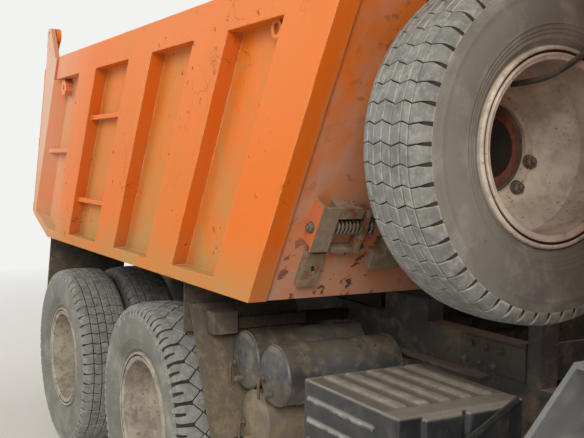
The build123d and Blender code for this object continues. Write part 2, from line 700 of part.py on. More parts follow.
# Side panels: a rear quarter behind each door and a corner ahead of it
SCREEN_RUN = 130
CORNER_LOW = 900
HINGE_OUT = 12
HINGE_LEAF = 8
HINGE_H = 60
hinge_places = [CAB_Z + 160, BELT_Z - 120]
QUARTER_REAR = CAB_REAR + 150
QUARTER_FRONT = DOOR_REAR - 120
QUARTER_LOW = BELT_Z + 110
QUARTER_HIGH = HEAD_Z - 70
with BuildPart() as cab_sides:
    for side in (-1, 1):
        skin = sorted((side * CAB_INNER, side * CAB_Y))
        quarter = [
            (CAB_REAR + CAB_WALL, CAB_Z),
            (DOOR_REAR - DOOR_GAP, CAB_Z),
            (DOOR_REAR - DOOR_GAP, ROOF_LOW),
            (CAB_REAR + CAB_WALL, ROOF_LOW),
        ]
        side_plate(quarter, *skin)
        window = [
            (QUARTER_REAR, QUARTER_LOW),
            (QUARTER_FRONT, QUARTER_LOW),
            (QUARTER_FRONT, QUARTER_HIGH),
            (QUARTER_REAR, QUARTER_HIGH),
        ]
        side_plate(window, *skin, mode=Mode.SUBTRACT)
        corner = [
            (DOOR_FRONT + DOOR_GAP, CORNER_LOW),
            (CAB_FRONT, CORNER_LOW),
            (CAB_FRONT, BELT_Z),
            (CAB_FRONT - SCREEN_RUN, ROOF_LOW),
            (CAB_FRONT - SCREEN_RUN - 70, ROOF_LOW),
            (CAB_FRONT - 90, BELT_Z + 40),
            (DOOR_FRONT + DOOR_GAP + 30, BELT_Z + 40),
            (DOOR_FRONT + DOOR_GAP, BELT_Z - 40),
        ]
        side_plate(corner, *skin)
        # The fixed half of each door hinge: a leaf, and a short barrel below the door's own
        for z in hinge_places:
            leaf = sorted((side * CAB_Y, side * (CAB_Y + HINGE_LEAF)))
            block(DOOR_FRONT + 4, DOOR_FRONT + 60, *leaf, z - 30, z - SEAT_GAP)
            upright(DOOR_FRONT, side * (CAB_Y + HINGE_OUT), HINGE_OUT - 0.5, z - 30, z - SEAT_GAP)
save(cab_sides.part, "cab_sides")

# Roof: a shallow tray turned over, its front edge as the header of the windscreen
ROOF_T = 40
LIP = 60
with BuildPart() as cab_roof:
    block(CAB_REAR, CAB_FRONT - SCREEN_RUN, -CAB_Y, CAB_Y, ROOF_LOW, CAB_TOP)
    fillet(cab_roof.edges().group_by(Axis.Z)[-1], 70)
    block(CAB_REAR + LIP, CAB_FRONT - SCREEN_RUN - LIP, -CAB_Y + LIP, CAB_Y - LIP, ROOF_LOW, CAB_TOP - ROOF_T,
          mode=Mode.SUBTRACT)
save(cab_roof.part, "cab_roof")

# Front panel below the windscreen, with the grille's opening
GRILLE_Y = 700
GRILLE_LOW = 1020
GRILLE_H = 360
with BuildPart() as cab_front:
    block(PANEL_X, CAB_FRONT, -CAB_INNER, CAB_INNER, CORNER_LOW, BELT_Z - 30)
    block(PANEL_X - 10, CAB_FRONT + 10, -GRILLE_Y, GRILLE_Y, GRILLE_LOW, GRILLE_LOW + GRILLE_H, mode=Mode.SUBTRACT)
save(cab_front.part, "cab_front")

# Grille: an outer frame and level slats
SLATS = 6
with BuildPart() as grille:
    frame_t = 26
    low, high = GRILLE_LOW, GRILLE_LOW + GRILLE_H
    block(PANEL_X + 10, CAB_FRONT + 12, -GRILLE_Y, GRILLE_Y, low, high)
    block(PANEL_X, CAB_FRONT + 20, -GRILLE_Y + frame_t, GRILLE_Y - frame_t, low + frame_t, high - frame_t,
          mode=Mode.SUBTRACT)
    pitch = (GRILLE_H - 2 * frame_t) / (SLATS + 1)
    for number in range(SLATS):
        z = low + frame_t + pitch * (number + 1)
        slat = [
            (PANEL_X + 14, z - 5),
            (CAB_FRONT + 2, z - 20),
            (CAB_FRONT + 8, z - 12),
            (PANEL_X + 14, z + 5),
        ]
        side_plate(slat, -GRILLE_Y + frame_t, GRILLE_Y - frame_t)
save(grille.part, "grille")

# Glass of the cab itself: windscreen, back and quarter windows
GLASS_T = 6
with BuildPart() as cab_glass:
    screen = [
        (CAB_FRONT - 8, BELT_Z - 30),
        (CAB_FRONT - 8 - GLASS_T, BELT_Z - 30),
        (CAB_FRONT - SCREEN_RUN - 8 - GLASS_T, ROOF_LOW),
        (CAB_FRONT - SCREEN_RUN - 8, ROOF_LOW),
    ]
    side_plate(screen, -CAB_INNER, CAB_INNER)
    for y in (-520, 520):
        with BuildSketch(Plane.YZ.offset(CAB_REAR + 22)) as window:
            with Locations((y, (BACK_LOW + BACK_HIGH) / 2)):
                RectangleRounded(BACK_W, BACK_HIGH - BACK_LOW, 50)
        extrude(window.sketch, amount=GLASS_T)
    for side in (-1, 1):
        pane = sorted((side * (CAB_Y - 22), side * (CAB_Y - 22 - GLASS_T)))
        block(QUARTER_REAR, QUARTER_FRONT, *pane, QUARTER_LOW, QUARTER_HIGH)
save(cab_glass.part, "cab_glass")

# Mudguards over the front wheels, with the steps ahead of them
FENDER_T = 12
STEP_REAR = AXLE_X + 700
STEP_FRONT = FRONT_X - BUMPER_BACK - 8
fender_line = [
    (AXLE_X - 890, 860),
    (AXLE_X - 810, 1110),
    (AXLE_X - 680, CAB_Z - FENDER_T - 12),
    (AXLE_X + 560, CAB_Z - FENDER_T - 12),
    (AXLE_X + 690, 1080),
    (AXLE_X + 720, 560),
]
with BuildPart() as fenders:
    inner_line = [
        (AXLE_X - 890 + FENDER_T, 860),
        (AXLE_X - 810 + FENDER_T, 1104),
        (AXLE_X - 680 + 6, CAB_Z - 2 * FENDER_T - 12),
        (AXLE_X + 560 - 6, CAB_Z - 2 * FENDER_T - 12),
        (AXLE_X + 690 - FENDER_T, 1074),
        (AXLE_X + 720 - FENDER_T, 560),
    ]
    for side in (-1, 1):
        guard = sorted((side * 870, side * (HALF - 20)))
        side_plate(fender_line + list(reversed(inner_line)), *guard)
        ties = sorted((side * (RAIL_Y), side * 872))
        block(AXLE_X - 660, AXLE_X - 600, *ties, CAB_Z - 2 * FENDER_T - 12, CAB_Z - FENDER_T - 12)
        block(AXLE_X - 660, AXLE_X - 600, *sorted((side * RAIL_Y, side * (RAIL_Y + 12))), RAIL_TOP - 60,
              CAB_Z - FENDER_T - 12)
        tread = sorted((side * 960, side * (HALF - 30)))
        for z in (560, 870):
            block(AXLE_X + 720, STEP_FRONT, *tread, z, z + 30)
        inner_cheek = sorted((side * 948, side * 960))
        block(AXLE_X + 720, STEP_FRONT, *inner_cheek, 560, 1080)
save(fenders.part, "fenders")

# Seats: a driver's seat and a double one, each a cushion and a leaning back
SEAT_X = AXLE_X + 20
seat_table = [
    # middle in Y, width
    (700, 480),
    (-740, 580),
]
with BuildPart() as seats:
    for middle, width in seat_table:
        low, high = middle - width / 2, middle + width / 2
        seat = [
            (SEAT_X, CAB_Z + 330),
            (SEAT_X + 480, CAB_Z + 350),
            (SEAT_X + 490, CAB_Z + 450),
            (SEAT_X + 110, CAB_Z + 430),
            (SEAT_X - 10, CAB_Z + 1080),
            (SEAT_X - 120, CAB_Z + 1080),
            (SEAT_X - 60, CAB_Z + 330),
        ]
        side_plate(seat, low, high)
        block(SEAT_X + 40, SEAT_X + 400, low + 60, high - 60, CAB_Z + FLOOR_T, CAB_Z + 335)
save(seats.part, "seats")

# Dashboard with the steering column and wheel
DASH_Z = BELT_Z - 60
COLUMN_TILT = 25
with BuildPart() as dashboard:
    dash = [
        (PANEL_X - 4, COVER_TOP + SEAT_GAP),
        (PANEL_X - 4, DASH_Z),
        (PANEL_X - 240, DASH_Z - 10),
        (PANEL_X - 300, DASH_Z - 90),
        (PANEL_X - 270, COVER_TOP + SEAT_GAP),
    ]
    side_plate(dash, -CAB_INNER + 8, CAB_INNER - 8)
    hub = Vector(PANEL_X - 400, 640, DASH_Z + 30)
    lean = Vector(-sin(radians(COLUMN_TILT)), 0, cos(radians(COLUMN_TILT)))
    with BuildSketch(Plane(origin=hub - lean * 330, z_dir=lean)) as column:
        Circle(32)
    extrude(column.sketch, amount=330)
    wheel_plane = Plane(origin=hub, z_dir=lean)
    with BuildSketch(wheel_plane) as spokes:
        Rectangle(420, 34)
        Circle(60)
    extrude(spokes.sketch, amount=18)
    with BuildSketch(wheel_plane.offset(-3)) as rim:
        Circle(230)
        Circle(204, mode=Mode.SUBTRACT)
    extrude(rim.sketch, amount=26)
save(dashboard.part, "dashboard")

# Mirrors on arms from the front corners
MIRROR_OUT = 1400
MIRROR_IN = 1245
with BuildPart() as mirrors:
    for side in (-1, 1):
        head = sorted((side * MIRROR_IN, side * MIRROR_OUT))
        block(CAB_FRONT - 110, CAB_FRONT - 70, *head, BELT_Z + 120, BELT_Z + 520)
        fillet(mirrors.edges().filter_by(Axis.X).group_by(Axis.Y)[-1 if side > 0 else 0], 25)
        for z in (BELT_Z + 60, BELT_Z + 560):
            arm = sorted((side * CAB_Y, side * (MIRROR_IN + 70)))
            block(CAB_FRONT - 96, CAB_FRONT - 80, *arm, z, z + 16)
        tube = sorted((side * (MIRROR_IN + 54), side * (MIRROR_IN + 70)))
        block(CAB_FRONT - 96, CAB_FRONT - 80, *tube, BELT_Z + 60, BELT_Z + 576)
save(mirrors.part, "mirrors")

# Doors, hinged at their front edge, with their glass
DOOR_LOW = CAB_Z + 4
DOOR_TOP = ROOF_LOW - DOOR_GAP
WINDOW_EDGE = 95
door_outline = [
    (DOOR_REAR, DOOR_LOW),
    (DOOR_FRONT, DOOR_LOW),
    (DOOR_FRONT, BELT_Z + 60),
    (DOOR_FRONT - 10, DOOR_TOP),
    (DOOR_REAR, DOOR_TOP),
]
window_outline = [
    (DOOR_REAR + WINDOW_EDGE, BELT_Z + 40),
    (DOOR_FRONT - WINDOW_EDGE, BELT_Z + 40),
    (DOOR_FRONT - WINDOW_EDGE - 60, DOOR_TOP - WINDOW_EDGE),
    (DOOR_REAR + WINDOW_EDGE, DOOR_TOP - WINDOW_EDGE),
]
for side, hand in ((1, "left"), (-1, "right")):
    skin = sorted((side * CAB_INNER, side * CAB_Y))
    with BuildPart() as door:
        side_plate(door_outline, *skin)
        with BuildSketch(Plane.XZ.offset(-skin[1])) as opening:
            Polygon(*window_outline, align=None)
            fillet(opening.vertices(), 40)
        extrude(opening.sketch, amount=CAB_WALL, mode=Mode.SUBTRACT)
        for z in hinge_places:
            leaf = sorted((side * CAB_Y, side * (CAB_Y + HINGE_LEAF)))
            block(DOOR_FRONT - 70, DOOR_FRONT, *leaf, z, z + HINGE_H)
            upright(DOOR_FRONT, side * (CAB_Y + HINGE_OUT), HINGE_OUT + 1, z, z + HINGE_H)
        handle = sorted((side * CAB_Y, side * (CAB_Y + 32)))
        block(DOOR_REAR + 70, DOOR_REAR + 220, *handle, BELT_Z - 90, BELT_Z - 60)
    save(door.part, f"door_{hand}")
    with BuildPart() as pane:
        glass = sorted((side * (CAB_Y - 22), side * (CAB_Y - 22 - GLASS_T)))
        with BuildSketch(Plane.XZ.offset(-glass[1])) as shape:
            Polygon(*window_outline, align=None)
            fillet(shape.vertices(), 40)
        extrude(shape.sketch, amount=GLASS_T)
    save(pane.part, f"door_glass_{hand}")

# Steered knuckles, front hubs with their wheels, and twin wheels behind
SPINDLE_F = 40
FRONT_HUB_END = FRONT_TRACK / 2 + DISH + 60
for side, hand in ((1, "left"), (-1, "right")):
    middle = side * FRONT_TRACK / 2
    with BuildPart() as knuckle:
        for low in (AXLE_Z - EYE_H / 2 - 28, AXLE_Z + EYE_H / 2 + SEAT_GAP):
            ear = sorted((side * (KING_Y - 45), side * (KING_Y + 110)))
            block(AXLE_X - 45, AXLE_X + 45, *ear, low, low + 28 - SEAT_GAP)
        with BuildSketch(Plane.XY.offset(AXLE_Z - EYE_H / 2 - 28)) as king:
            with Locations((AXLE_X, side * KING_Y)):
                Circle(KING_R)
        extrude(king.sketch, amount=EYE_H + 56)
        web = sorted((side * (KING_Y + 68), side * (KING_Y + 110)))
        block(AXLE_X - 45, AXLE_X + 45, *web, AXLE_Z - EYE_H / 2 - 28, AXLE_Z + EYE_H / 2 + 28)
        spindle = sorted((side * (KING_Y + 110), side * (FRONT_HUB_END - 93)))
        cross_rod(AXLE_X, AXLE_Z, SPINDLE_F, *spindle)
    save(knuckle.part, f"knuckle_{hand}")
    with BuildPart() as tyre:
        turned(across_y(tyre_section, middle, side), AXLE_X, AXLE_Z)
    save(tyre.part, f"front_tyre_{hand}")
    with BuildPart() as wheel:
        turned(across_y(wheel_section, middle, -side), AXLE_X, AXLE_Z)
        flange = middle + side * DISH
        hand_holes(Plane(origin=(AXLE_X, flange, AXLE_Z), x_dir=(1, 0, 0), z_dir=(0, -side, 0)), DISH)
        hub = [
            (flange - side * DISC_T, DISC_FACE_R - 12),
            (flange - side * (DISC_T + 22), DISC_FACE_R - 12),
            (flange - side * (DISC_T + 22), HUB_BORE_R - 30),
            (flange - side * 150, HUB_BORE_R - 30),
            (flange - side * 150, SPINDLE_F + SEAT_GAP),
            (flange - side * 30, SPINDLE_F + SEAT_GAP),
            (flange - side * 30, 0),
            (flange + side * 60, 0),
            (flange + side * 60, 80),
            (flange + side * 40, HUB_BORE_R - 40),
            (flange - side * DISC_T, HUB_BORE_R - 30),
        ]
        turned(hub, AXLE_X, AXLE_Z)
    save(wheel.part, f"front_wheel_{hand}")

twin_stations = [
    # X of the axle, name
    (MIDDLE_X, "middle"),
    (REAR_X, "rear"),
]
DRUM_R = 200
for station_x, station in twin_stations:
    for side, hand in ((1, "left"), (-1, "right")):
        middle = side * REAR_TRACK / 2
        with BuildPart() as tyres:
            for shift in (-TWIN_PITCH / 2, TWIN_PITCH / 2):
                turned(across_y(tyre_section, middle + side * shift, side), station_x, AXLE_Z)
        save(tyres.part, f"tyres_{station}_{hand}")
        with BuildPart() as wheels:
            turned(across_y(wheel_section, middle + side * DISH, side), station_x, AXLE_Z)
            turned(across_y(wheel_section, middle - side * DISH, -side), station_x, AXLE_Z)
            for way in (-1, 1):
                hand_holes(Plane(origin=(station_x, middle, AXLE_Z), x_dir=(1, 0, 0), z_dir=(0, way, 0)), DISH)
            hub = [
                (middle - side * DISC_T, DISC_FACE_R - 12),
                (middle - side * (DISC_T + 26), DISC_FACE_R - 12),
                (middle - side * (DISC_T + 60), DRUM_R),
                (middle + side * HUB_BACK, DRUM_R),
                (middle + side * HUB_BACK, SPINDLE_R + SEAT_GAP),
                (middle + side * 44, SPINDLE_R + SEAT_GAP),
                (middle + side * 44, 0),
                (middle + side * 140, 0),
                (middle + side * 140, HUB_BORE_R - 45),
                (middle + side * 60, HUB_BORE_R - 20),
                (middle - side * DISC_T, HUB_BORE_R - 15),
            ]
            turned(hub, station_x, AXLE_Z)
        save(wheels.part, f"wheels_{station}_{hand}")


# Tipping body. bed_x gives the X of a leaning line at a height.

def bed_x(foot_x, z, lean=LEAN):
    """X at height z of a line that leans forward from foot_x at the body's lower edge."""
    return foot_x + lean * (z - BED_Z)


SILL_Z = BED_Z + SILL_H
BEVEL_Z = BED_Z + BEVEL_RISE
FLOOR_Z = BED_Z + SHEET
WALL_SETBACK = 14
FRONT_FACE = BED_FRONT - WALL_SETBACK
GATE_FOOT = BED_REAR - GATE_LEAN * BEVEL_RISE

# Cross ribs under the floor, as X from the body's front corner
rib_places = [-330, -790, -1230, -1650, -2080, -2500]
RIB_W = 50
RIB_H = 55
RIB_END_H = 10
RIB_TAPER_Y = 1010
BEAM_REAR = BED_BEVEL + 60
BEAM_FRONT = PAD_REAR - 30
EAR_IN = RAIL_Y + 12
with BuildPart() as bed_floor:
    floor = [
        (FRONT_FACE - SHEET, BED_Z),
        (BED_BEVEL, BED_Z),
        (BED_REAR + 4, BEVEL_Z),
        (BED_REAR + 4, BEVEL_Z + SHEET),
        (BED_BEVEL, FLOOR_Z),
        (bed_x(FRONT_FACE - SHEET, FLOOR_Z), FLOOR_Z),
    ]
    side_plate(floor, -INNER_Y, INNER_Y)
    for side in (-1, 1):
        beam = sorted((side * RAIL_IN, side * RAIL_Y))
        block(BEAM_REAR, BEAM_FRONT, *beam, SUB_TOP + BODY_GAP, BED_Z)
        seat = sorted((side * RAIL_IN, side * RAIL_Y))
        block(PAD_REAR, PAD_FRONT, *seat, SUB_TOP + PAD_H + SEAT_GAP, BED_Z)
        ear = sorted((side * EAR_IN, side * (EAR_IN + HINGE_EAR_T)))
        ear_points = [
            (PIVOT_X - HINGE_R, PIVOT_Z),
            (PIVOT_X + HINGE_R, PIVOT_Z),
            (BED_BEVEL + 260, BED_Z),
            (BED_BEVEL, BED_Z),
            (PIVOT_X - 20, BED_Z + BEVEL_RISE * (BED_BEVEL - PIVOT_X + 20) / (BED_BEVEL - BED_REAR)),
        ]
        side_plate(ear_points, *ear)
        cross_rod(PIVOT_X, PIVOT_Z, HINGE_R, *ear)
        cross_rod(PIVOT_X, PIVOT_Z, HINGE_PIN_R + SEAT_GAP, *ear, mode=Mode.SUBTRACT)
        cheek = sorted((side * (BALL_R + 4), side * (BALL_R + 24)))
        block(BALL_X - 170, BALL_X + 70, *cheek, BALL_Z - 20, BED_Z)
    for place in rib_places:
        x = BED_FRONT + place
        for side in (-1, 1):
            rib = [
                (side * RAIL_Y, BED_Z),
                (side * INNER_Y, BED_Z),
                (side * INNER_Y, BED_Z - RIB_END_H),
                (side * RIB_TAPER_Y, BED_Z - RIB_H),
                (side * RAIL_Y, BED_Z - RIB_H),
            ]
            end_plate(rib, x - RIB_W, x)
    block(BALL_X - 170, BALL_X + 70, -BALL_R - 24, BALL_R + 24, BALL_Z + BALL_R + SEAT_GAP, BED_Z)
save(bed_floor.part, "bed_floor")

# Stakes along each side, as front edge at the lower edge, width, slope of the rear flank
stake_table = [
    (MIDDLE_X - 1127, 290, 18),
    (MIDDLE_X - 337, 290, 18),
    (MIDDLE_X + 408, 300, 22),
    (BED_FRONT, 310, 75),
]
LEAN_LENGTH = hypot(1, LEAN)
LEAN_WAY = (LEAN / LEAN_LENGTH, 0, 1 / LEAN_LENGTH)
POST_FOOT = 44
POST_FLANK = 120
FLANK_LOW = BEVEL_Z - 10
RAIL_END = BED_REAR + 600
STEP_D = 44
STEP_T = 22
STEP_LOW = 1460
STEP_HIGH = 1900
STEP_REAR_Z = 1730
EAR_T = 26
EAR_R = 44
EYE_X = MIDDLE_X - 1275
EYE_Z = 2105
EYE_PLATE = 90
EYE_R = 16
HOOK_X = BED_FRONT - 421
HOOK_R = 34
HOOK_SUNK = 8
for side, hand in ((1, "left"), (-1, "right")):
    skin = sorted((side * INNER_Y, side * PANEL_Y))
    box = sorted((side * PANEL_Y, side * HALF))
    with BuildPart() as bed_side:
        panel = [
            (BED_FRONT, BED_Z),
            (BED_BEVEL, BED_Z),
            (BED_REAR, BEVEL_Z),
            (bed_x(GATE_FOOT, BED_TOP, GATE_LEAN), BED_TOP),
            (bed_x(BED_FRONT, BED_TOP), BED_TOP),
        ]
        side_plate(panel, *skin)
        sill = [
            (BED_FRONT, BED_Z),
            (BED_BEVEL, BED_Z),
            (BED_REAR, BEVEL_Z),
            (bed_x(GATE_FOOT, BEVEL_Z + SILL_REAR_H, GATE_LEAN), BEVEL_Z + SILL_REAR_H),
            (BED_BEVEL + 8, SILL_Z),
            (bed_x(BED_FRONT, SILL_Z), SILL_Z),
        ]
        side_plate(sill, *box)
        top_rail = [
            (RAIL_END - 30, RAIL_LOW),
            (bed_x(BED_FRONT, RAIL_LOW), RAIL_LOW),
            (bed_x(BED_FRONT, BED_TOP), BED_TOP),
            (RAIL_END + 30, BED_TOP),
        ]
        side_plate(top_rail, *box)
        rear_post = [
            (BED_REAR, BEVEL_Z),
            (BED_REAR + POST_FOOT, BEVEL_Z),
            (BED_REAR + POST_FOOT + LEAN * (BED_TOP - BEVEL_Z), BED_TOP),
            (bed_x(GATE_FOOT, BED_TOP, GATE_LEAN), BED_TOP),
        ]
        side_plate(rear_post, *box)
        outer = sorted((side * (HALF - EAR_T), side * HALF))
        ear = [
            (bed_x(GATE_FOOT, BED_TOP, GATE_LEAN), BED_TOP),
            (RAIL_END - 60, BED_TOP),
            (GATE_PIN_X + EAR_R * 0.9, GATE_PIN_Z + EAR_R * 0.4),
            (GATE_PIN_X - EAR_R, GATE_PIN_Z),
        ]
        side_plate(ear, *outer)
        cross_rod(GATE_PIN_X, GATE_PIN_Z, EAR_R, *outer)
        with BuildSketch(Plane.XY.offset(FLANK_LOW)) as flank:
            start = bed_x(BED_REAR + POST_FOOT - LEAN * BEVEL_RISE, FLANK_LOW)
            Polygon(
                (start - 10, side * PANEL_Y),
                (start - 10, side * HALF),
                (start, side * HALF),
                (start + POST_FLANK, side * PANEL_Y),
                align=None,
            )
        extrude(flank.sketch, amount=(RAIL_LOW - FLANK_LOW) * LEAN_LENGTH, dir=LEAN_WAY)
        for edge_x, width, slope in stake_table:
            with BuildSketch(Plane.XY.offset(SILL_Z)) as hat:
                start = bed_x(edge_x, SILL_Z)
                Polygon(
                    (start, side * PANEL_Y),
                    (start, side * HALF),
                    (start - width, side * HALF),
                    (start - width - slope, side * PANEL_Y),
                    align=None,
                )
            extrude(hat.sketch, amount=(RAIL_LOW - SILL_Z) * LEAN_LENGTH, dir=LEAN_WAY)
        cross_rod(GATE_PIN_X, GATE_PIN_Z, 20 + SEAT_GAP, *outer, mode=Mode.SUBTRACT)
        step = sorted((side * PANEL_Y, side * (PANEL_Y + STEP_D)))
        first, second = stake_table[0], stake_table[1]
        for z in (STEP_LOW, STEP_HIGH):
            block(bed_x(first[0], z), bed_x(second[0] - second[1] - second[2] * 0.7, z), *step, z, z + STEP_T)
        post_x = bed_x(BED_REAR + POST_FOOT - LEAN * BEVEL_RISE, STEP_REAR_Z)
        block(post_x, bed_x(first[0] - first[1], STEP_REAR_Z), *step, STEP_REAR_Z, STEP_REAR_Z + STEP_T)
        # An eight-sided boss with a pin hole, and a hook plate under the rail
        with BuildSketch(Plane.XZ.offset(-step[1])) as eye:
            with Locations((EYE_X, EYE_Z)):
                RegularPolygon(EYE_PLATE / 2, 8, major_radius=False, rotation=22.5)
                Circle(EYE_R, mode=Mode.SUBTRACT)
        extrude(eye.sketch, amount=STEP_D)
        hook_y = sorted((side * (PANEL_Y + 20), side * (PANEL_Y + 32)))
        with BuildSketch(Plane.XZ.offset(-hook_y[1])) as hook:
            with Locations((bed_x(HOOK_X, RAIL_LOW), RAIL_LOW - HOOK_R + HOOK_SUNK)):
                Circle(HOOK_R)
                Circle(HOOK_R - 14, mode=Mode.SUBTRACT)
        extrude(hook.sketch, amount=hook_y[1] - hook_y[0])
    save(bed_side.part, f"bed_side_{hand}")

# Front wall, its corner strips, and the visor that runs out over the cab
VISOR_T = 30
WING_TOP = 2940
with BuildPart() as bed_front:
    wall = [
        (bed_x(FRONT_FACE - SHEET, BED_Z), BED_Z),
        (bed_x(FRONT_FACE, BED_Z), BED_Z),
        (bed_x(FRONT_FACE, WALL_TOP), WALL_TOP),
        (bed_x(FRONT_FACE - SHEET, WALL_TOP), WALL_TOP),
    ]
    side_plate(wall, -INNER_Y, INNER_Y)
    for side in (-1, 1):
        wing = sorted((side * INNER_Y, side * (INNER_Y + SHEET)))
        cheek = [
            (bed_x(BED_FRONT - 560, BED_TOP), BED_TOP),
            (bed_x(BED_FRONT, BED_TOP), BED_TOP),
            (bed_x(BED_FRONT, WALL_TOP), WALL_TOP),
            (bed_x(BED_FRONT - 120, WALL_TOP), WALL_TOP),
        ]
        side_plate(cheek, *wing)
    roof = [
        (bed_x(FRONT_FACE - SHEET, WALL_TOP), WALL_TOP - VISOR_T),
        (bed_x(FRONT_FACE - SHEET, WALL_TOP), WALL_TOP),
        (bed_x(FRONT_FACE, WALL_TOP) + VISOR_REACH, WALL_TOP + VISOR_RISE),
        (bed_x(FRONT_FACE, WALL_TOP) + VISOR_REACH, WALL_TOP + VISOR_RISE - VISOR_T),
    ]
    side_plate(roof, -INNER_Y, INNER_Y)
save(bed_front.part, "bed_front")

# Brackets on the front wall's corners. They are set out on the wall's face: across is from the
# truck's middle, up is along the wall from its lower edge, and out is off the face.
wall_face = Plane(origin=(FRONT_FACE, 0, BED_Z), x_dir=(0, 1, 0), z_dir=(1, 0, -LEAN))
bracket_table = [
    # across from, to, up from, to, out from, to
    (HALF - 154, HALF - 144, 262, 422, SEAT_GAP, 62),
    (HALF - 216, HALF - 144, 246, 418, 54, 62),
    (HALF - 314, HALF - 210, 372, 412, SEAT_GAP, 56),
    (HALF - 348, HALF - 336, 226, 400, SEAT_GAP, 58),
    (HALF - 388, HALF - 250, 226, 238, SEAT_GAP, 44),
    (HALF - 562, HALF - 430, 147, 217, SEAT_GAP, 46),
    (HALF - 550, HALF - 470, 210, 350, SEAT_GAP, 56),
    (HALF - 174, HALF - 166, 78, 214, SEAT_GAP, 30),
    (HALF - 240, HALF - 166, 78, 214, 22, 30),
]
LATCH_UP = 325
LATCH_OUT = 30
LATCH_R = 10
with BuildPart() as wall_brackets:
    for side in (-1, 1):
        for across_low, across_high, up_low, up_high, out_low, out_high in bracket_table:
            with BuildSketch(wall_face.offset(out_low)) as face:
                with Locations((side * (across_low + across_high) / 2, (up_low + up_high) / 2)):
                    Rectangle(across_high - across_low, up_high - up_low)
            extrude(face.sketch, amount=out_high - out_low)
        rod_x = FRONT_FACE + (LEAN * LATCH_UP + LATCH_OUT) / LEAN_LENGTH
        rod_z = BED_Z + (LATCH_UP - LEAN * LATCH_OUT) / LEAN_LENGTH
        cross_rod(rod_x, rod_z, LATCH_R, *sorted((side * (HALF - 540), side * (HALF - 146))))
        with BuildSketch(wall_face.offset(20)) as slot:
            with Locations((side * (HALF - 206), 150)):
                SlotOverall(34, 14, rotation=60 * side)
        extrude(slot.sketch, amount=12, mode=Mode.SUBTRACT)
save(wall_brackets.part, "wall_brackets")

# Tailgate: a skin with a frame of ribs, hung from two arms on pins at the top
GATE_Y = HALF - 12
GATE_SKIN = 8
GATE_TOP = 2262
GATE_LOW = BEVEL_Z - 10
ARM_OUT = HALF - EAR_T - 8
ARM_IN = ARM_OUT - 26


def gate_x(z, out=0):
    """X of the tailgate at height z, out being the distance behind its inner face."""
    return bed_x(GATE_FOOT, z, GATE_LEAN) - out


with BuildPart() as tailgate:
    inset = SEAT_GAP
    skin = [
        (gate_x(GATE_LOW, inset), GATE_LOW),
        (gate_x(GATE_TOP, inset), GATE_TOP),
        (gate_x(GATE_TOP, inset + GATE_SKIN), GATE_TOP),
        (gate_x(GATE_LOW, inset + GATE_SKIN), GATE_LOW),
    ]
    side_plate(skin, -GATE_Y, GATE_Y)
    for z in (GATE_LOW, (GATE_LOW + GATE_TOP) / 2 - 50, GATE_TOP - 100):
        beam = [
            (gate_x(z, inset + GATE_SKIN), z),
            (gate_x(z + 100, inset + GATE_SKIN), z + 100),
            (gate_x(z + 75, GATE_T), z + 75),
            (gate_x(z + 25, GATE_T), z + 25),
        ]
        side_plate(beam, -GATE_Y, GATE_Y)
    for middle in (-GATE_Y + 45, -420, 420, GATE_Y - 45):
        upright = [
            (gate_x(GATE_LOW, inset + GATE_SKIN), GATE_LOW),
            (gate_x(GATE_TOP, inset + GATE_SKIN), GATE_TOP),
            (gate_x(GATE_TOP - 20, GATE_T - 8), GATE_TOP - 20),
            (gate_x(GATE_LOW + 20, GATE_T - 8), GATE_LOW + 20),
        ]
        side_plate(upright, middle - 45, middle + 45)
    for side in (-1, 1):
        arm_y = sorted((side * ARM_IN, side * ARM_OUT))
        arm = [
            (gate_x(GATE_TOP - 160, inset + GATE_SKIN), GATE_TOP - 160),
            (gate_x(GATE_TOP - 160, GATE_T), GATE_TOP - 160),
            (GATE_PIN_X - EAR_R, GATE_PIN_Z),
            (GATE_PIN_X + EAR_R * 0.5, GATE_PIN_Z - EAR_R * 0.7),
            (gate_x(BED_TOP + 8, inset), BED_TOP + 8),
            (gate_x(GATE_TOP, inset), GATE_TOP),
        ]
        side_plate(arm, *arm_y)
        cross_rod(GATE_PIN_X, GATE_PIN_Z, EAR_R, *arm_y)
        cross_rod(GATE_PIN_X, GATE_PIN_Z, 20, *sorted((side * ARM_IN, side * (HALF - 2))))
save(tailgate.part, "tailgate")

# Hoist: barrel on its trunnion, three rams, a ball on the last
HOIST_LENGTH = hypot(BALL_X - HOIST_X, BALL_Z - HOIST_Z)
hoist_axis = Vector(BALL_X - HOIST_X, 0, BALL_Z - HOIST_Z).normalized()
hoist_plane = Plane(origin=(HOIST_X, 0, HOIST_Z), z_dir=hoist_axis)
BARREL_FOOT = 60
BARREL_HEAD = 90
RAM_STEP = 16
RAM_GAP = 0.4
ram_radii = [BARREL_R - RAM_STEP, BARREL_R - 2 * RAM_STEP, BARREL_R - 3 * RAM_STEP]
with BuildPart() as hoist_barrel:
    with BuildSketch(hoist_plane.offset(-BARREL_FOOT)) as tube:
        Circle(BARREL_R)
    extrude(tube.sketch, amount=HOIST_LENGTH - BARREL_HEAD + BARREL_FOOT)
    with BuildSketch(hoist_plane) as bore:
        Circle(ram_radii[0] + RAM_GAP)
    extrude(bore.sketch, amount=HOIST_LENGTH, mode=Mode.SUBTRACT)
    for side in (-1, 1):
        cross_rod(HOIST_X, HOIST_Z, TRUNNION_R, *sorted((side * (BARREL_R - 8), side * (LUG_Y + CRADLE_T))))
save(hoist_barrel.part, "hoist_barrel")

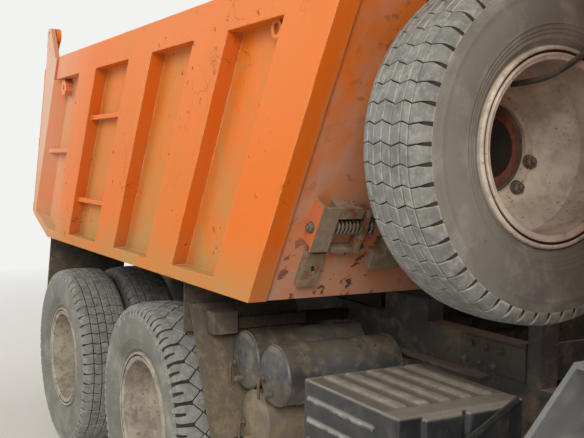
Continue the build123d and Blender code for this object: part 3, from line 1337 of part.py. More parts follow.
for number, radius in enumerate(ram_radii):
    last = number == len(ram_radii) - 1
    with BuildPart() as ram:
        foot = 8 * (number + 1)
        with BuildSketch(hoist_plane.offset(foot)) as tube:
            Circle(radius)
        top = HOIST_LENGTH - BARREL_HEAD + 12 * (number + 1)
        extrude(tube.sketch, amount=(HOIST_LENGTH if last else top) - foot)
        if last:
            with Locations((BALL_X, 0, BALL_Z)):
                Sphere(BALL_R)
        else:
            with BuildSketch(hoist_plane.offset(foot)) as bore:
                Circle(ram_radii[number + 1] + RAM_GAP)
            extrude(bore.sketch, amount=HOIST_LENGTH, mode=Mode.SUBTRACT)
    save(ram.part, f"hoist_ram_{number + 1}")
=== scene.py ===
import json
from math import cos, hypot, pi, radians, sin, tau

import bmesh
import bpy
import numpy as np
from mathutils import Matrix, Vector


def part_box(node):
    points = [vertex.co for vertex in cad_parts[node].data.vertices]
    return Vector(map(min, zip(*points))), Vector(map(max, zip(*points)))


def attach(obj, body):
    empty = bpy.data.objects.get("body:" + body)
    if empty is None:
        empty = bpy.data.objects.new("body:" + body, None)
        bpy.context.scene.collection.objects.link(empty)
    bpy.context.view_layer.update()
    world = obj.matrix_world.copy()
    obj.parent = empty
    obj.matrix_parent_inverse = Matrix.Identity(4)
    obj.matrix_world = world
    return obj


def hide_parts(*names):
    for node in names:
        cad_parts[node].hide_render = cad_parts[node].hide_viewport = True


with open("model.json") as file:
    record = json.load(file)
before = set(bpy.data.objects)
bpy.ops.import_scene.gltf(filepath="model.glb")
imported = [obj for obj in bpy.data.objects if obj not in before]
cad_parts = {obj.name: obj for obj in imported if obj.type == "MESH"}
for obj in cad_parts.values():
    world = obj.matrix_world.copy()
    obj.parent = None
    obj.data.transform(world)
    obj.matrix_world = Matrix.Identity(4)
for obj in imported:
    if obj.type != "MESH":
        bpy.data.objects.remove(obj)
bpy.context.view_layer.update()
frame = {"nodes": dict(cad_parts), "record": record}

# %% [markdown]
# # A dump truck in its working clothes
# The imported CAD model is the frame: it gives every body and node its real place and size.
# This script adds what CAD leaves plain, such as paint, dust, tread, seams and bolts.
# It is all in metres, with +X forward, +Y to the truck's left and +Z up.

MM = 0.001
nodes = frame["nodes"]
node_body = {node: body for body, names in frame["record"]["behaviour"]["bodies"].items() for node in names}
scene = bpy.context.scene

# %% [markdown]
# ## Small helpers
# Colours are written as sRGB hex, as a paint chart gives them, and one function turns them linear,
# which is what a shader adds up. One more function adds a node with its settings and its links,
# so that a material reads as a list of what lies on the surface.


# %% Colour and node helpers
def linear(code):
    """An sRGB hex colour as linear RGBA."""
    channels = [int(code[i:i + 2], 16) / 255 for i in (1, 3, 5)]
    return (*(c / 12.92 if c <= 0.04045 else ((c + 0.055) / 1.055) ** 2.4 for c in channels), 1.0)


def adder(tree):
    """The function that adds a node to this tree: its kind, its settings, then its inputs in order or by name."""
    def add(kind, settings=None, *inputs, **named):
        node = tree.nodes.new(kind if "Node" in kind else "ShaderNode" + kind)
        for key, value in (settings or {}).items():
            setattr(node, key, value)
        free = [s for s in node.inputs if s.enabled]
        chosen = [next(s for s in free if s.name.replace(" ", "_") == key) for key in named]
        # An input takes a value, a socket, or a node, which stands for its first output
        for socket, value in (*zip(free, inputs), *zip(chosen, named.values())):
            if isinstance(value, bpy.types.Node):
                value = next(s for s in value.outputs if s.enabled)
            if isinstance(value, bpy.types.NodeSocket):
                tree.links.new(value, socket)
            else:
                socket.default_value = value
        return node
    return add


def begin(name):
    """An empty material, the function that adds its nodes, and the object's own coordinates."""
    material = bpy.data.materials.new(name)
    material.use_nodes = True
    material.node_tree.nodes.clear()
    add = adder(material.node_tree)
    return material, add, add("TexCoord").outputs["Object"]


# Settings of the sums that stay between 0 and 1, of a value without its sign, and of a mix of colours
PLUS, TIMES, LESS, MOST = ({"operation": kind, "use_clamp": True}
                           for kind in ("ADD", "MULTIPLY", "SUBTRACT", "MAXIMUM"))
SIZE, COLOUR = {"operation": "ABSOLUTE"}, {"data_type": "RGBA"}


# %% Objects and meshes from lists
def shown(name, data):
    """A new object in the scene that holds this data."""
    obj = bpy.data.objects.new(name, data)
    scene.collection.objects.link(obj)
    return obj


def mesh_object(name, points, faces, materials=(), smooth_under=None, slots=None, lift=None):
    """An object from points in metres. slots gives each face its material, smooth_under an angle in degrees."""
    data = bpy.data.meshes.new(name)
    data.from_pydata([tuple(p) for p in points], [], faces)
    for material in materials:
        data.materials.append(material)
    if slots is not None:
        data.polygons.foreach_set("material_index", np.asarray(slots, dtype=np.int32))
    if lift is not None:
        data.attributes.new("lift", "FLOAT", "POINT").data.foreach_set("value", np.asarray(lift, dtype=np.float32))
    data.update()
    if smooth_under:
        data.shade_smooth()
        data.set_sharp_from_angle(angle=radians(smooth_under))
    return shown(name, data)


# %% [markdown]
# ## Floor, light and camera
# The floor is plain and pale, and fades to the backdrop's white a few metres away, so that no horizon shows.
# The light is soft, from large areas, so that shapes read from all sides.
# The camera stands where the photographer stood: beside the cab's rear corner, looking back along the truck.

# %% Floor
FLOOR_REACH = 60
material, add, where = begin("pale_floor")
rays = add("LightPath").outputs
seen = add("Math", MOST, rays["Is Camera Ray"], rays["Is Glossy Ray"])
seen = add("Math", MOST, seen, rays["Is Transmission Ray"])
away = add("VectorMath", {"operation": "LENGTH"}, where).outputs["Value"]
far = add("Math", TIMES, seen, add("MapRange", None, away, 4.5, 11.0))
near_floor = add("BsdfPrincipled", None, Base_Color=linear("#CFCDC8"), Roughness=0.9)
backdrop = add("Emission", None, linear("#F2F2F0"), 1.0)
add("OutputMaterial", None, add("MixShader", None, far, near_floor, backdrop))
floor = mesh_object("floor", [(x * FLOOR_REACH, y * FLOOR_REACH, 0) for x, y in ((-1, -1), (1, -1), (1, 1), (-1, 1))],
                    [(0, 1, 2, 3)], (material,))
print("floor", 2 * FLOOR_REACH, "m wide")


# %% Lights
def area_light(name, place, target, size, power, tint="#FFFFFF"):
    """A square area light that looks at a point."""
    light = bpy.data.lights.new(name, "AREA")
    light.shape, light.size, light.energy, light.color = "SQUARE", size, power, linear(tint)[:3]
    lamp = shown(name, light)
    lamp.location = place
    lamp.rotation_euler = (Vector(target) - Vector(place)).to_track_quat("-Z", "Y").to_euler()


area_light("key", (9.0, -7.0, 6.4), (-0.8, -0.6, 1.2), 4.5, 1320, "#FFF8EE")
area_light("fill", (-7.0, -6.0, 4.5), (-1.0, -0.5, 1.2), 5.0, 300, "#F8F4EE")
area_light("back", (0.0, 8.0, 6.0), (0.0, 0.0, 1.5), 5.0, 420)

scene.world = world = bpy.data.worlds.new("studio")
world.use_nodes = True
world.node_tree.nodes.clear()
add = adder(world.node_tree)
rays = add("LightPath").outputs
seen = add("Math", MOST, rays["Is Camera Ray"], rays["Is Transmission Ray"])
strength = add("MapRange", None, Value=seen, To_Min=0.55, To_Max=1.0)
add("OutputWorld", None, add("Background", None, linear("#F2F2F0"), strength))

# %% Camera, from the angles and the focal length that fit the photograph
CAMERA_PLACE = (2.446, -2.571, 1.695)
VIEW_TURN = radians(30.25)   # from straight back towards the truck's left side
VIEW_DOWN = radians(3.79)
VIEW_ROLL = radians(1.04)
FOCAL_PX, PHOTO_PX, SENSOR_MM = 850, 584, 36
back_way = Vector((-cos(VIEW_TURN), sin(VIEW_TURN), 0))
side_way = Vector((sin(VIEW_TURN), cos(VIEW_TURN), 0))
up_way = Vector((0, 0, 1))
forward = back_way * cos(VIEW_DOWN) - up_way * sin(VIEW_DOWN)
down = -(up_way * cos(VIEW_DOWN) + back_way * sin(VIEW_DOWN))
right = side_way * cos(VIEW_ROLL) - down * sin(VIEW_ROLL)
down = side_way * sin(VIEW_ROLL) + down * cos(VIEW_ROLL)
camera_data = bpy.data.cameras.new("camera")
camera_data.sensor_width = SENSOR_MM
camera_data.lens = FOCAL_PX / PHOTO_PX * SENSOR_MM
camera_data.clip_end = 200
camera = shown("camera", camera_data)
camera.matrix_world = Matrix.Translation(CAMERA_PLACE) @ Matrix((right, -down, -forward)).transposed().to_4x4()
scene.camera = camera
scene.view_settings.view_transform = "Standard"
print("lens", round(camera_data.lens, 1), "mm")

# %% [markdown]
# ## Paint, dust and rust
# A working truck's paint isn't one colour. It fades in large soft patches, cracks and chips down to primer
# and rust, and carries road dust that lies thickest on what faces up, low on the body and in its recesses.
# So one function lays these coats over each other, and each paint only says how much of each it has.


# %% A weathered coat in layers
def per(size_mm):
    """The scale of a pattern whose marks are this many millimetres across."""
    return 1 / (size_mm * MM)


def patches(add, where, size_mm, low, high, least=0.0, most=1.0, detail=3, broken=0.55):
    """How much of a coat lies at each place: soft patches of a size, from least to most."""
    cloud = add("TexNoise", None, where, per(size_mm), detail, broken)
    return add("MapRange", None, cloud, low, high, least, most)


def weathered(name, colours, fade_mm, dust_amount, dust_on_top, chip_amount, roughness, bump_mm=0.3, dust_low=None,
              metallic=0.0, grain_mm=3, chip_mm=40, streak=1.0, recess=None, cracks=0.0, edge=None, inner=None,
              under=None, outer=None, rear=None, worn_and_highlit=None, flank=None, specular=0.5):
    """Paint that fades, chips to rust and gathers dust. Its colours are fresh, faded, dust and rust.

    dust_low is a Z below which dust thickens, and over what. recess is a distance from the truck's middle
    plane: faces just inside it are sunk between ribs and hold more dust. cracks is the share of the coat
    with hairline cracks. edge is a pale colour that edges take, where a piece marks them with lift: dust on
    tread blocks, and partly rubbing and partly painted highlight on ribs; low lift darkens to near-black, as
    painted shade at the feet of blocks and in grooves. inner is (distance from the middle plane, colour) for
    what lies inboard of that distance, and under is (Z, colour) for what lies below a floor. outer is like
    inner, for what lies outside that distance. rear is (lean, X where it starts, X of the last post's edge,
    colour) for faces that turn paler towards the rear, partly with dust that the wheels throw up and partly as a
    painted wash of light on the last stakes. worn is (colour, width in mm) for edges turned pale, partly by
    rubbing and partly as painted highlight, and flank is a darker colour, painted shade, on faces that look
    along X, such as the flanks of stakes.
    """
    material, add, where = begin(name)
    fresh, faded, dust, rust = (linear(code) for code in colours.split())
    drawn = add("Mapping", None, where, Scale=(1, 1, streak))
    colour = add("Mix", COLOUR, patches(add, drawn, fade_mm, 0.35, 0.68, detail=5), fresh, faded)
    grain = add("TexNoise", None, where, per(grain_mm), 3, 0.55)
    faced = add("NewGeometry").outputs["Normal"]
    normal = add("SeparateXYZ", None, faced).outputs
    place = add("SeparateXYZ", None, where).outputs
    # Dust: in clouds, on what faces up, low down, and in the bays between ribs
    base = add("Math", PLUS, patches(add, drawn, fade_mm * 0.4, 0.48, 0.78, 0.0, dust_amount * 2, 8, 0.7),
               add("MapRange", None, normal["Z"], 0.15, 0.9, 0.0, dust_on_top))
    if dust_low:
        height = add("MapRange", None, place["Z"], sum(dust_low), dust_low[0], 0.0, 0.8)
        uneven = patches(add, where, 190, 0.3, 0.65, 0.35, 1.0, 7, 0.65)
        base = add("Math", PLUS, base, add("Math", TIMES, height, uneven))
    if recess:
        sunk = add("MapRange", None, add("Math", SIZE, place["Y"]), recess, recess - 0.02)
        film = add("Math", PLUS, patches(add, drawn, 420, 0.40, 0.62, 0.0, 0.62, 7, 0.68),
                   patches(add, where, 48, 0.5, 0.58, 0.0, 0.4, 6, 0.72))
        base = add("Math", PLUS, base, add("Math", TIMES, sunk, film))
    dusty = add("Math", TIMES, base, add("MapRange", None, grain, 0.2, 0.6, 0.6, 1.0))
    colour = add("Mix", COLOUR, dusty, colour, dust)
    for limit, axis, way in ((inner, "Y", -0.004), (under, "Z", -0.004), (outer, "Y", 0.001)):
        if limit:
            beyond = add("MapRange", None, add("Math", SIZE, place[axis]), limit[0], limit[0] + way, 0.0, 0.9)
            colour = add("Mix", COLOUR, beyond, colour, linear(limit[1]))
    if rear:
        # Paler towards the rear: partly dust thrown up by the wheels, partly a painted wash of light on the last stakes
        lean, start, post, dust_and_light_colour = rear
        run = add("Math", {"operation": "MULTIPLY_ADD"}, place["Z"], -lean, place["X"])
        pale_dust_and_light = add("Math", PLUS, add("MapRange", None, run, start, post, 0.0, 0.42),
                   add("MapRange", None, run, post + 0.004, post - 0.004, 0.0, 0.33))
        pale_dust_and_light = add("Math", TIMES, pale_dust_and_light, patches(add, drawn, 240, 0.3, 0.6, 0.6, 1.0, 6, 0.6))
        colour = add("Mix", COLOUR, pale_dust_and_light, colour, linear(dust_and_light_colour))
    if flank:
        # Faces that look along X, such as the stakes' flanks, turn darker and redder: painted shade
        along = add("MapRange", None, add("Math", SIZE, normal["X"]), 0.35, 0.6, 0.0, 0.5)
        colour = add("Mix", COLOUR, along, colour, linear(flank))
    rim = {}
    if worn_and_highlit:
        # A rounded normal differs from the true one only near an edge
        rim["Normal"] = add("Bevel", {"samples": 4}, worn_and_highlit[1] * MM)
        turn = add("VectorMath", {"operation": "DOT_PRODUCT"}, rim["Normal"], faced).outputs["Value"]
        # Edges turn pale: partly rubbed wear, partly painted highlight where they would catch the light
        rubbed_and_highlit = add("Math", TIMES, add("MapRange", None, turn, 0.99, 0.90, 0.0, 0.75),
                     patches(add, where, 110, 0.4, 0.6, 0.15, 1.0, 6, 0.65))
        colour = add("Mix", COLOUR, rubbed_and_highlit, colour, linear(worn_and_highlit[0]))
    # Chips: small sharp islands of rust inside larger worn areas
    sparse = 0.70 - chip_amount * 0.3
    chips = add("Math", TIMES, patches(add, where, chip_mm, sparse, 0.73 - chip_amount * 0.3, 0.0, 1.0, 6, 0.65),
                patches(add, where, chip_mm * 12, 0.42, 0.62))
    if cracks:
        wander = add("TexNoise", None, where, per(130), 5, 0.55).outputs["Color"]
        bent = add("MixRGB", {"blend_type": "LINEAR_LIGHT"}, 0.10, where, wander)
        cells = add("TexVoronoi", {"feature": "DISTANCE_TO_EDGE"}, Vector=bent, Scale=5.0)
        cracked = add("Math", TIMES, add("MapRange", None, cells, 0.007, 0.002, 0.0, 0.75),
                      patches(add, where, 520, 0.62 - cracks * 0.3, 0.66 - cracks * 0.3, detail=2))
        chips = add("Math", MOST, chips, cracked)
    rusty = add("Mix", COLOUR, add("MapRange", None, grain, 0.3, 0.7), rust, linear("#2A1B14"))
    colour = add("Mix", COLOUR, chips, colour, rusty)
    if edge:
        lift = add("Attribute", {"attribute_name": "lift"}).outputs["Fac"]
        # Edges that lift marks turn pale: dust on tread blocks, partly wear and partly painted highlight on ribs
        near = add("Math", TIMES, add("MapRange", None, lift, 0.35, 0.8), add("MapRange", None, lift, 1.0, 0.86))
        near = add("Math", TIMES, near, patches(add, where, 45, 0.42, 0.6, 0.15, 0.9))
        colour = add("Mix", COLOUR, near, colour, linear(edge))
        # Low lift darkens to near-black: painted shade at the feet of tread blocks and in the battery's grooves
        colour = add("Mix", COLOUR, add("MapRange", None, lift, 0.5, 0.0, 0.0, 0.85), colour, linear("#1F1E1C"))
    rough = add("Math", PLUS, add("Math", TIMES, dusty, 0.45), roughness)
    rough = add("Math", PLUS, rough, add("Math", TIMES, chips, 0.3))
    level = add("Math", LESS, add("MapRange", None, grain, 0.2, 0.8, 0.3, 0.7), add("Math", TIMES, chips, 0.3))
    bump = add("Bump", None, Height=level, Distance=bump_mm * MM, Strength=0.6, **rim)
    add("OutputMaterial", None, add("BsdfPrincipled", None, Base_Color=colour, Roughness=rough, Metallic=metallic,
                                    Normal=bump, Specular_IOR_Level=specular))
    return material


# %% Paints of the truck, each as what it is on the real thing
# The body's stakes lean forward by LEAN a metre, so each edge of one is a line of equal X - LEAN * Z
LEAN = 0.565
POST_LINE = -3.096 - LEAN * 1.34
GROUND = "#3A3733"
paint = {
    # name; fresh, faded, dust and rust; size of the faded patches in mm; dust in clouds and on top; chips;
    # roughness; bump in mm
    # Bright orange enamel of the tipping body, faded, and dusty in the bays between its stakes
    # Pale edges: wear and painted highlight. Darker flanks: painted shade. Paler rear: dust and painted light.
    "body": weathered("body_orange_enamel", "#DC6A08 #D57012 #AC8C58 #5A3320", 700, 0.17, 0.5, 0.16, 0.46,
                      dust_low=(1.25, 0.2), grain_mm=2.5, chip_mm=46, streak=0.45, recess=1.2, cracks=0.04,
                      rear=(LEAN, POST_LINE + 0.85, POST_LINE, "#CBB9A6"), worn_and_highlit=("#F0B890", 6), flank="#A8451C",
                      specular=0.16),
    # The same enamel on the tailgate, its ends scraped pale and its foot dusty
    # Pale edges: partly wear, partly painted highlight
    "gate": weathered("tailgate_orange_enamel", "#DC6A08 #D57012 #AC8C58 #5A3320", 500, 0.24, 0.5, 0.22, 0.46,
                      dust_low=(1.5, 0.5), grain_mm=2.5, chip_mm=50, streak=0.45, cracks=0.04,
                      outer=(1.244, "#CDB09A"), worn_and_highlit=("#F0B890", 6), specular=0.16),
    # The load floor: scoured to brown steel where loads slide, near-black below the floor's top face
    "load_floor": weathered("scoured_floor_steel", "#7A6A5A #8C5A38 #9A8E7C #4A2C1C", 300, 0.3, 0.3, 0.5, 0.55, 0.8,
                            metallic=0.3, chip_mm=60, under=(1.2155, "#211F1D")),
    # The front wall, which the wheels and the cab keep under brown dust
    # Pale edges: partly wear, partly painted highlight
    "wall": weathered("front_wall_dusty_enamel", "#D4640F #B8652E #988B7D #5C4A3C", 420, 0.42, 0.5, 0.38, 0.46,
                      dust_low=(1.24, 0.72), chip_mm=58, streak=0.35, cracks=0.06, worn_and_highlit=("#D9A27C", 5), specular=0.3),
    # Grey-brown brackets, their paint worn off
    "bracket": weathered("worn_bracket_steel", "#6A5C4C #7B6A56 #8F8068 #9A5426", 80, 0.5, 0.4, 0.62, 0.7, 0.7,
                         chip_mm=30, outer=(1.1045, "#C2683A")),
    # The body's enamel on the cab, cleaner because it is washed more often
    # Pale edges: partly wear, partly painted highlight
    "cab": weathered("cab_orange_enamel", "#DA620A #D56A16 #A28A68 #6B3A22", 900, 0.12, 0.5, 0.1, 0.5,
                     dust_low=(0.9, 0.5), grain_mm=2.5, worn_and_highlit=("#E89A68", 4), specular=0.25),
    # Grey moulded fenders and steps, sandy with splashed mud
    "fender": weathered("fender_grey_plastic", "#5E6163 #6D7071 #8F8B82 #3C3A38", 240, 0.35, 0.3, 0.05, 0.6, 0.4,
                        dust_low=(0.75, 0.4)),
    # Bare pipe and can of the silencer, burnt to an even brown rust
    "silencer": weathered("rusted_silencer_steel", "#5A3A28 #6E4A32 #7B6A55 #38201A", 90, 0.3, 0.4, 0.6, 0.85, 0.6,
                          chip_mm=12),
    # Black frame paint under years of oily dust
    "frame": weathered("frame_black_paint", "#3C3D3F #524B41 #8A7C68 #6A4630", 240, 0.55, 0.75, 0.34, 0.6, 0.8),
    # Cast iron of axles and gearbox, crusted with road dirt
    "iron": weathered("dusty_cast_iron", "#302E2B #3B3732 #70675A #54382A", 150, 0.55, 0.6, 0.3, 0.75, 1.2, grain_mm=5),
    # Beige wheel paint, with dust baked on by the brakes
    "wheel": weathered("wheel_beige_paint", "#C6BDAE #A0968A #756D61 #5A3A2A", 110, 0.4, 0.1, 0.26, 0.55, 0.4,
                       dust_low=(0.9, 0.35), chip_mm=14),
    # Blue-grey air tank paint with ochre dirt
    "tank": weathered("tank_grey_paint", "#454B50 #2E3032 #84755C #5A4232", 150, 0.42, 0.35, 0.3, 0.42, 0.5,
                      dust_low=(0.74, 0.17)),
    # Tarnished brass of drain cocks and their pipes
    "cock": weathered("tarnished_brass_cock", "#54483A #625240 #7B6C56 #3A281E", 20, 0.4, 0.3, 0.1, 0.6, metallic=0.4),
    # Rubber flap, brown with dried mud, near-black inboard of 0.664 m from the middle plane
    "flap": weathered("muddy_flap_rubber", "#45403A #51493F #786B56 #4A3A2E", 120, 0.55, 0.3, 0.15, 0.85, 1.5,
                      dust_low=(0.5, 0.6), grain_mm=6, inner=(0.664, "#262523")),
    # Moulded black plastic of lamp housings and the battery box's lid edge
    "plastic": weathered("housing_black_plastic", f"#1B1F22 #24282B #8E897C {GROUND}", 200, 0.10, 0.7, 0.0, 0.4, 0.25),
    # The battery box: its ribs pale, partly worn and partly painted highlight, and its grooves dark as painted shade
    "shell": weathered("battery_black_moulding", f"#1B1F22 #24282B #8E897C {GROUND}", 200, 0.10, 0.7, 0.0, 0.3, 0.25,
                       edge="#8F8C85"),
    # Grey inner trim
    "trim": weathered("cab_inner_plastic", "#33322F #3D3B37 #6E675B #3A352E", 300, 0.15, 0.2, 0.0, 0.6, 0.4,
                      grain_mm=1.5),
    # Woven seat cover
    "seat": weathered("seat_woven_cover", "#3A3A3D #47464A #6E675B #3A352E", 200, 0.2, 0.2, 0.0, 0.95, 0.9, grain_mm=2),
    # Ground steel of the rams, with an oil film
    "ram": weathered("ram_ground_steel", "#8F8E8B #A3A19C #6E5D4A #4A3527", 120, 0.2, 0.1, 0.05, 0.28, 0.05,
                     metallic=1.0),
    # Side wall rubber, grey-beige with dust
    "side_wall": weathered("side_wall_rubber", f"#76766F #61625D #9C9B93 {GROUND}", 320, 0.42, 0.0, 0.0, 0.85, 0.5,
                           grain_mm=4),
    # Tread blocks: worn grey rubber, dusty along their edges, and near-black at their feet as painted shade
    "tread": weathered("tread_worn_rubber", f"#7A7C7A #626461 #A2A39D {GROUND}", 70, 0.5, 0.0, 0.0, 0.88, 0.6,
                       grain_mm=5, edge="#A3A197"),
    # The floor of the grooves, near-black as painted shade
    "groove_shade": weathered("groove_dark_rubber", "#24221F #2E2B27 #4A453C #1B1A18", 120, 0.3, 0.0, 0.0, 0.95, 0.5),
    # Near-black painted shade for gaps and bores
    "shadow": weathered("oily_black_gap", "#141415 #1C1A18 #2A2622 #1A1512", 90, 0.2, 0.1, 0.0, 0.6),
    # Red-brown primer on the spare's carrier ring
    "primer": weathered("red_oxide_primer", "#5A2B20 #6B3A2A #7B6A55 #3A231A", 80, 0.3, 0.2, 0.3, 0.75, 0.4,
                        chip_mm=14),
    # Zinc and rust of nuts, springs and clamps
    "steel": weathered("rusty_fastener_steel", "#6F6A62 #57503F #8A7A63 #6B3E24", 40, 0.4, 0.4, 0.5, 0.6, 0.4,
                       metallic=0.4, chip_mm=9),
    # Black rubber round the glass, and on the wipers
    "seal": weathered("window_seal_rubber", "#1B1B1A #262523 #6E675B #2A2622", 160, 0.2, 0.3, 0.0, 0.7, 0.2),
    # Chrome of the lamps' rims and bowls, gone dull
    "bright": weathered("dull_lamp_chrome", "#B9BABA #A3A3A0 #8A8173 #6A5140", 60, 0.15, 0.1, 0.1, 0.18, 0.05,
                        metallic=1.0, chip_mm=6),
    # Silvered glass of the mirrors
    "mirror": weathered("mirror_silvered_glass", "#D8DCDD #CDD1D2 #A29B8E #8A8173", 200, 0.05, 0.0, 0.0, 0.04, 0.01,
                        metallic=1.0),
}
print("paints", len(paint))


# %% Glass and lamp lenses
def glassy(name, tint, roughness, transmission):
    """Clear sheet or lens with a little dust in it."""
    material, add, where = begin(name)
    cloud = patches(add, where, 220, 0.45, 0.8, roughness, roughness + 0.25, 6, 0.7)
    shade = add("Mix", COLOUR, patches(add, where, 90, 0.5, 0.8, 0.0, 0.35, 5), linear(tint), linear("#B8B0A0"))
    add("OutputMaterial", None, add("BsdfPrincipled", None, Base_Color=shade, Roughness=cloud, IOR=1.45,
                                    Transmission_Weight=transmission))
    return material


for kind, name, tint, roughness, transmission in (
        ("glass", "window_glass", "#DCE8E6", 0.02, 1.0), ("lens", "lamp_lens", "#E8E6DF", 0.08, 0.75),
        ("red_lens", "tail_lens_red", "#B3140F", 0.15, 0.35), ("amber_lens", "turn_lens_amber", "#D9780A", 0.15, 0.35),
        ("clear_lens", "reverse_lens_clear", "#DAD6CC", 0.15, 0.35)):
    paint[kind] = glassy(name, tint, roughness, transmission)

# %% Each CAD node takes its paint
node_paint = {
    "body": ["bed_side_left", "bed_side_right"],
    "gate": ["tailgate"],
    "load_floor": ["bed_floor"],
    "wall": ["bed_front"],
    "bracket": ["wall_brackets"],
    "cab": ["cab_floor", "cab_back", "cab_sides", "cab_roof", "cab_front", "door_left", "door_right"],
    "frame": ["frame_rails", "crossmembers", "subframe", "leaf_springs", "spare_carrier", "front_bumper",
              "grille", "hoist_barrel"],
    "fender": ["fenders"],
    "silencer": ["exhaust"],
    "iron": ["engine_block", "drive_line", "axles", "knuckle_left", "knuckle_right"],
    "tank": ["fuel_tank", "air_tanks"],
    "flap": ["mudguards"],
    "plastic": ["battery_box"],
    "trim": ["dashboard", "mirrors"],
    "seat": ["seats"],
    "ram": ["hoist_ram_1", "hoist_ram_2", "hoist_ram_3"],
    "glass": ["cab_glass", "door_glass_left", "door_glass_right"],
    "lens": ["lamps"],
    "side_wall": [n for n in nodes if "tyre" in n],
    "wheel": [n for n in nodes if "wheel" in n],
}
for kind, names in node_paint.items():
    for name in names:
        nodes[name].data.materials.clear()
        nodes[name].data.materials.append(paint[kind])
print("dressed", sum(len(names) for names in node_paint.values()), "of", len(nodes))

# %% [markdown]
# ## Turned shapes, and copies in rows and rings
# Tyres, rims, hubs and nuts are all turned about an axle or repeated round it. A profile is a list of
# (across, radius) points in millimetres, and lathe turns it into a mesh about the local Y axis.
# What repeats is meshed once, and one Geometry Nodes tree repeats it: each point of a line carries a copy.
# For rivets the points step along a rail. For a wheel they all lie on the axle, where a piece that is
# meshed at the top comes round, because every copy is turned a little further.


# %% Meshes from profiles
def bands(count, levels, closed=False):
    """Four-sided faces between rings of count points, level after level, and back to the first if closed."""
    faces = []
    for i in range(levels if closed else levels - 1):
        for k in range(count):
            j, m = (i + 1) % levels, (k + 1) % count
            faces.append((i * count + k, i * count + m, j * count + m, j * count + k))
    return faces


def lathe(profile, segments=96):
    """Points and faces of a profile turned about Y. The profile runs so that the outside is on its left."""
    across, radius = (np.array(column) * MM for column in zip(*profile))
    turn = np.arange(segments) * tau / segments
    points = np.stack([np.outer(np.sin(turn), radius), np.tile(across, (segments, 1)),
                       np.outer(np.cos(turn), radius)], axis=-1).reshape(-1, 3)
    return points, bands(len(profile), segments, closed=True)


def turned(name, profile, segments, coat, smooth_under=40, way=None):
    """A turned piece, standing along +Y or another direction."""
    points, faces = lathe(profile, segments)
    return mesh_object(name, facing_way(points, way) if way else points, faces, (paint[coat],), smooth_under)


def facing_way(points, way):
    """Points of a piece that stands along +Y, turned to stand along another direction."""
    turn = Vector((0, 1, 0)).rotation_difference(Vector(way)).to_matrix()
    return [turn @ Vector(p) for p in points]


def join_lists(parts):
    """One points list and one faces list from several."""
    points, faces = [], []
    for some_points, some_faces in parts:
        faces.extend(tuple(i + len(points) for i in face) for face in some_faces)
        points.extend(some_points)
    return points, faces


# %% Plain meshes, joined and placed
def made_plain(obj, name, *modifiers):
    """An object's evaluated shape, after modifiers given as (kind, settings), as a plain object in its place."""
    for kind, settings in modifiers:
        modifier = obj.modifiers.new(kind, kind)
        for key, value in settings.items():
            setattr(modifier, key, value)
    bpy.context.view_layer.update()
    data = bpy.data.meshes.new_from_object(obj.evaluated_get(bpy.context.evaluated_depsgraph_get()))
    data.name = name
    bpy.data.objects.remove(obj)
    return shown(name, data)


def joined(name, objects):
    """Several objects as one, their materials kept."""
    bpy.ops.object.select_all(action="DESELECT")
    for obj in objects:
        obj.select_set(True)
    bpy.context.view_layer.objects.active = whole = objects[0]
    if len(objects) > 1:
        bpy.ops.object.join()
    whole.name = name
    return whole


def copies_at(name, source, places):
    """One object that holds the source's mesh at several matrices."""
    made = []
    for place in places:
        data = source.data.copy()
        data.transform(place)
        if place.determinant() < 0:
            data.flip_normals()
        made.append(shown(name, data))
    return joined(name, made)


def moved_to(name, source, places):
    """The source at several matrices, as one object; the source goes."""
    whole = copies_at(name, source, places)
    bpy.data.objects.remove(source)
    whole.name = name
    return whole


def both_sides(obj):
    """The piece together with its mirror image on the truck's other side."""
    return moved_to(obj.name, obj, [Matrix.Identity(4), Matrix.Scale(-1, 4, (0, 1, 0))])


# %% Copies along a line or round the Y axis, in Geometry Nodes
copy_tree = bpy.data.node_groups.new("copies_on_a_line", "GeometryNodeTree")
socket_of = {}
for label, kind in (("Piece", "Geometry"), ("Count", "Int"), ("Coat", "Material"), ("Start", "Vector"),
                    ("Step", "Vector"), ("Turn", "Float")):
    socket = copy_tree.interface.new_socket(label, in_out="INPUT", socket_type="NodeSocket" + kind)
    socket_of[label] = socket.identifier
copy_tree.interface.new_socket("Copies", in_out="OUTPUT", socket_type="NodeSocketGeometry")
add = adder(copy_tree)
given = add("NodeGroupInput").outputs
line = add("GeometryNodeMeshLine", None, Count=given["Count"], Start_Location=given["Start"], Offset=given["Step"])
angle = add("Math", {"operation": "MULTIPLY"}, add("GeometryNodeInputIndex"), given["Turn"])
instances = add("GeometryNodeInstanceOnPoints", None, Points=line, Instance=given["Piece"],
                Rotation=add("CombineXYZ", None, Y=angle))
real = add("GeometryNodeRealizeInstances", None, Geometry=instances)
add("NodeGroupOutput", None, add("GeometryNodeSetMaterial", None, Geometry=real, Material=given["Coat"]))


NOWHERE = (0.0, 0.0, 0.0)


def copies(name, points, faces, count, coat, start=NOWHERE, step=NOWHERE, turn=0.0, smooth_under=None, lift=None):
    """Copies of one mesh, each a step on and a turn further, as a plain object."""
    obj = mesh_object(name + "_one", points, faces, (), smooth_under, lift=lift)
    modifier = obj.modifiers.new("copies", "NODES")
    modifier.node_group = copy_tree
    for label, value in (("Count", count), ("Coat", paint[coat]), ("Start", start), ("Step", step), ("Turn", turn)):
        modifier[socket_of[label]] = value
    return made_plain(obj, name)


print("inputs of the tree", sorted(socket_of))

# %% [markdown]
# ## Tyres
# The photograph shows three treads. The rearmost tyre has six columns of nearly square blocks, the one
# ahead of it a traction tread of split shoulder lugs with diamonds between them, and the spare has narrow
# ribs with wavy cuts. A tread is cut into a curved band, so each block is drawn flat, in millimetres across
# and round the tyre, and is then wrapped on the crown. The blocks go down to the groove's floor, which
# belongs to the carcass, and dust collects on their edges.

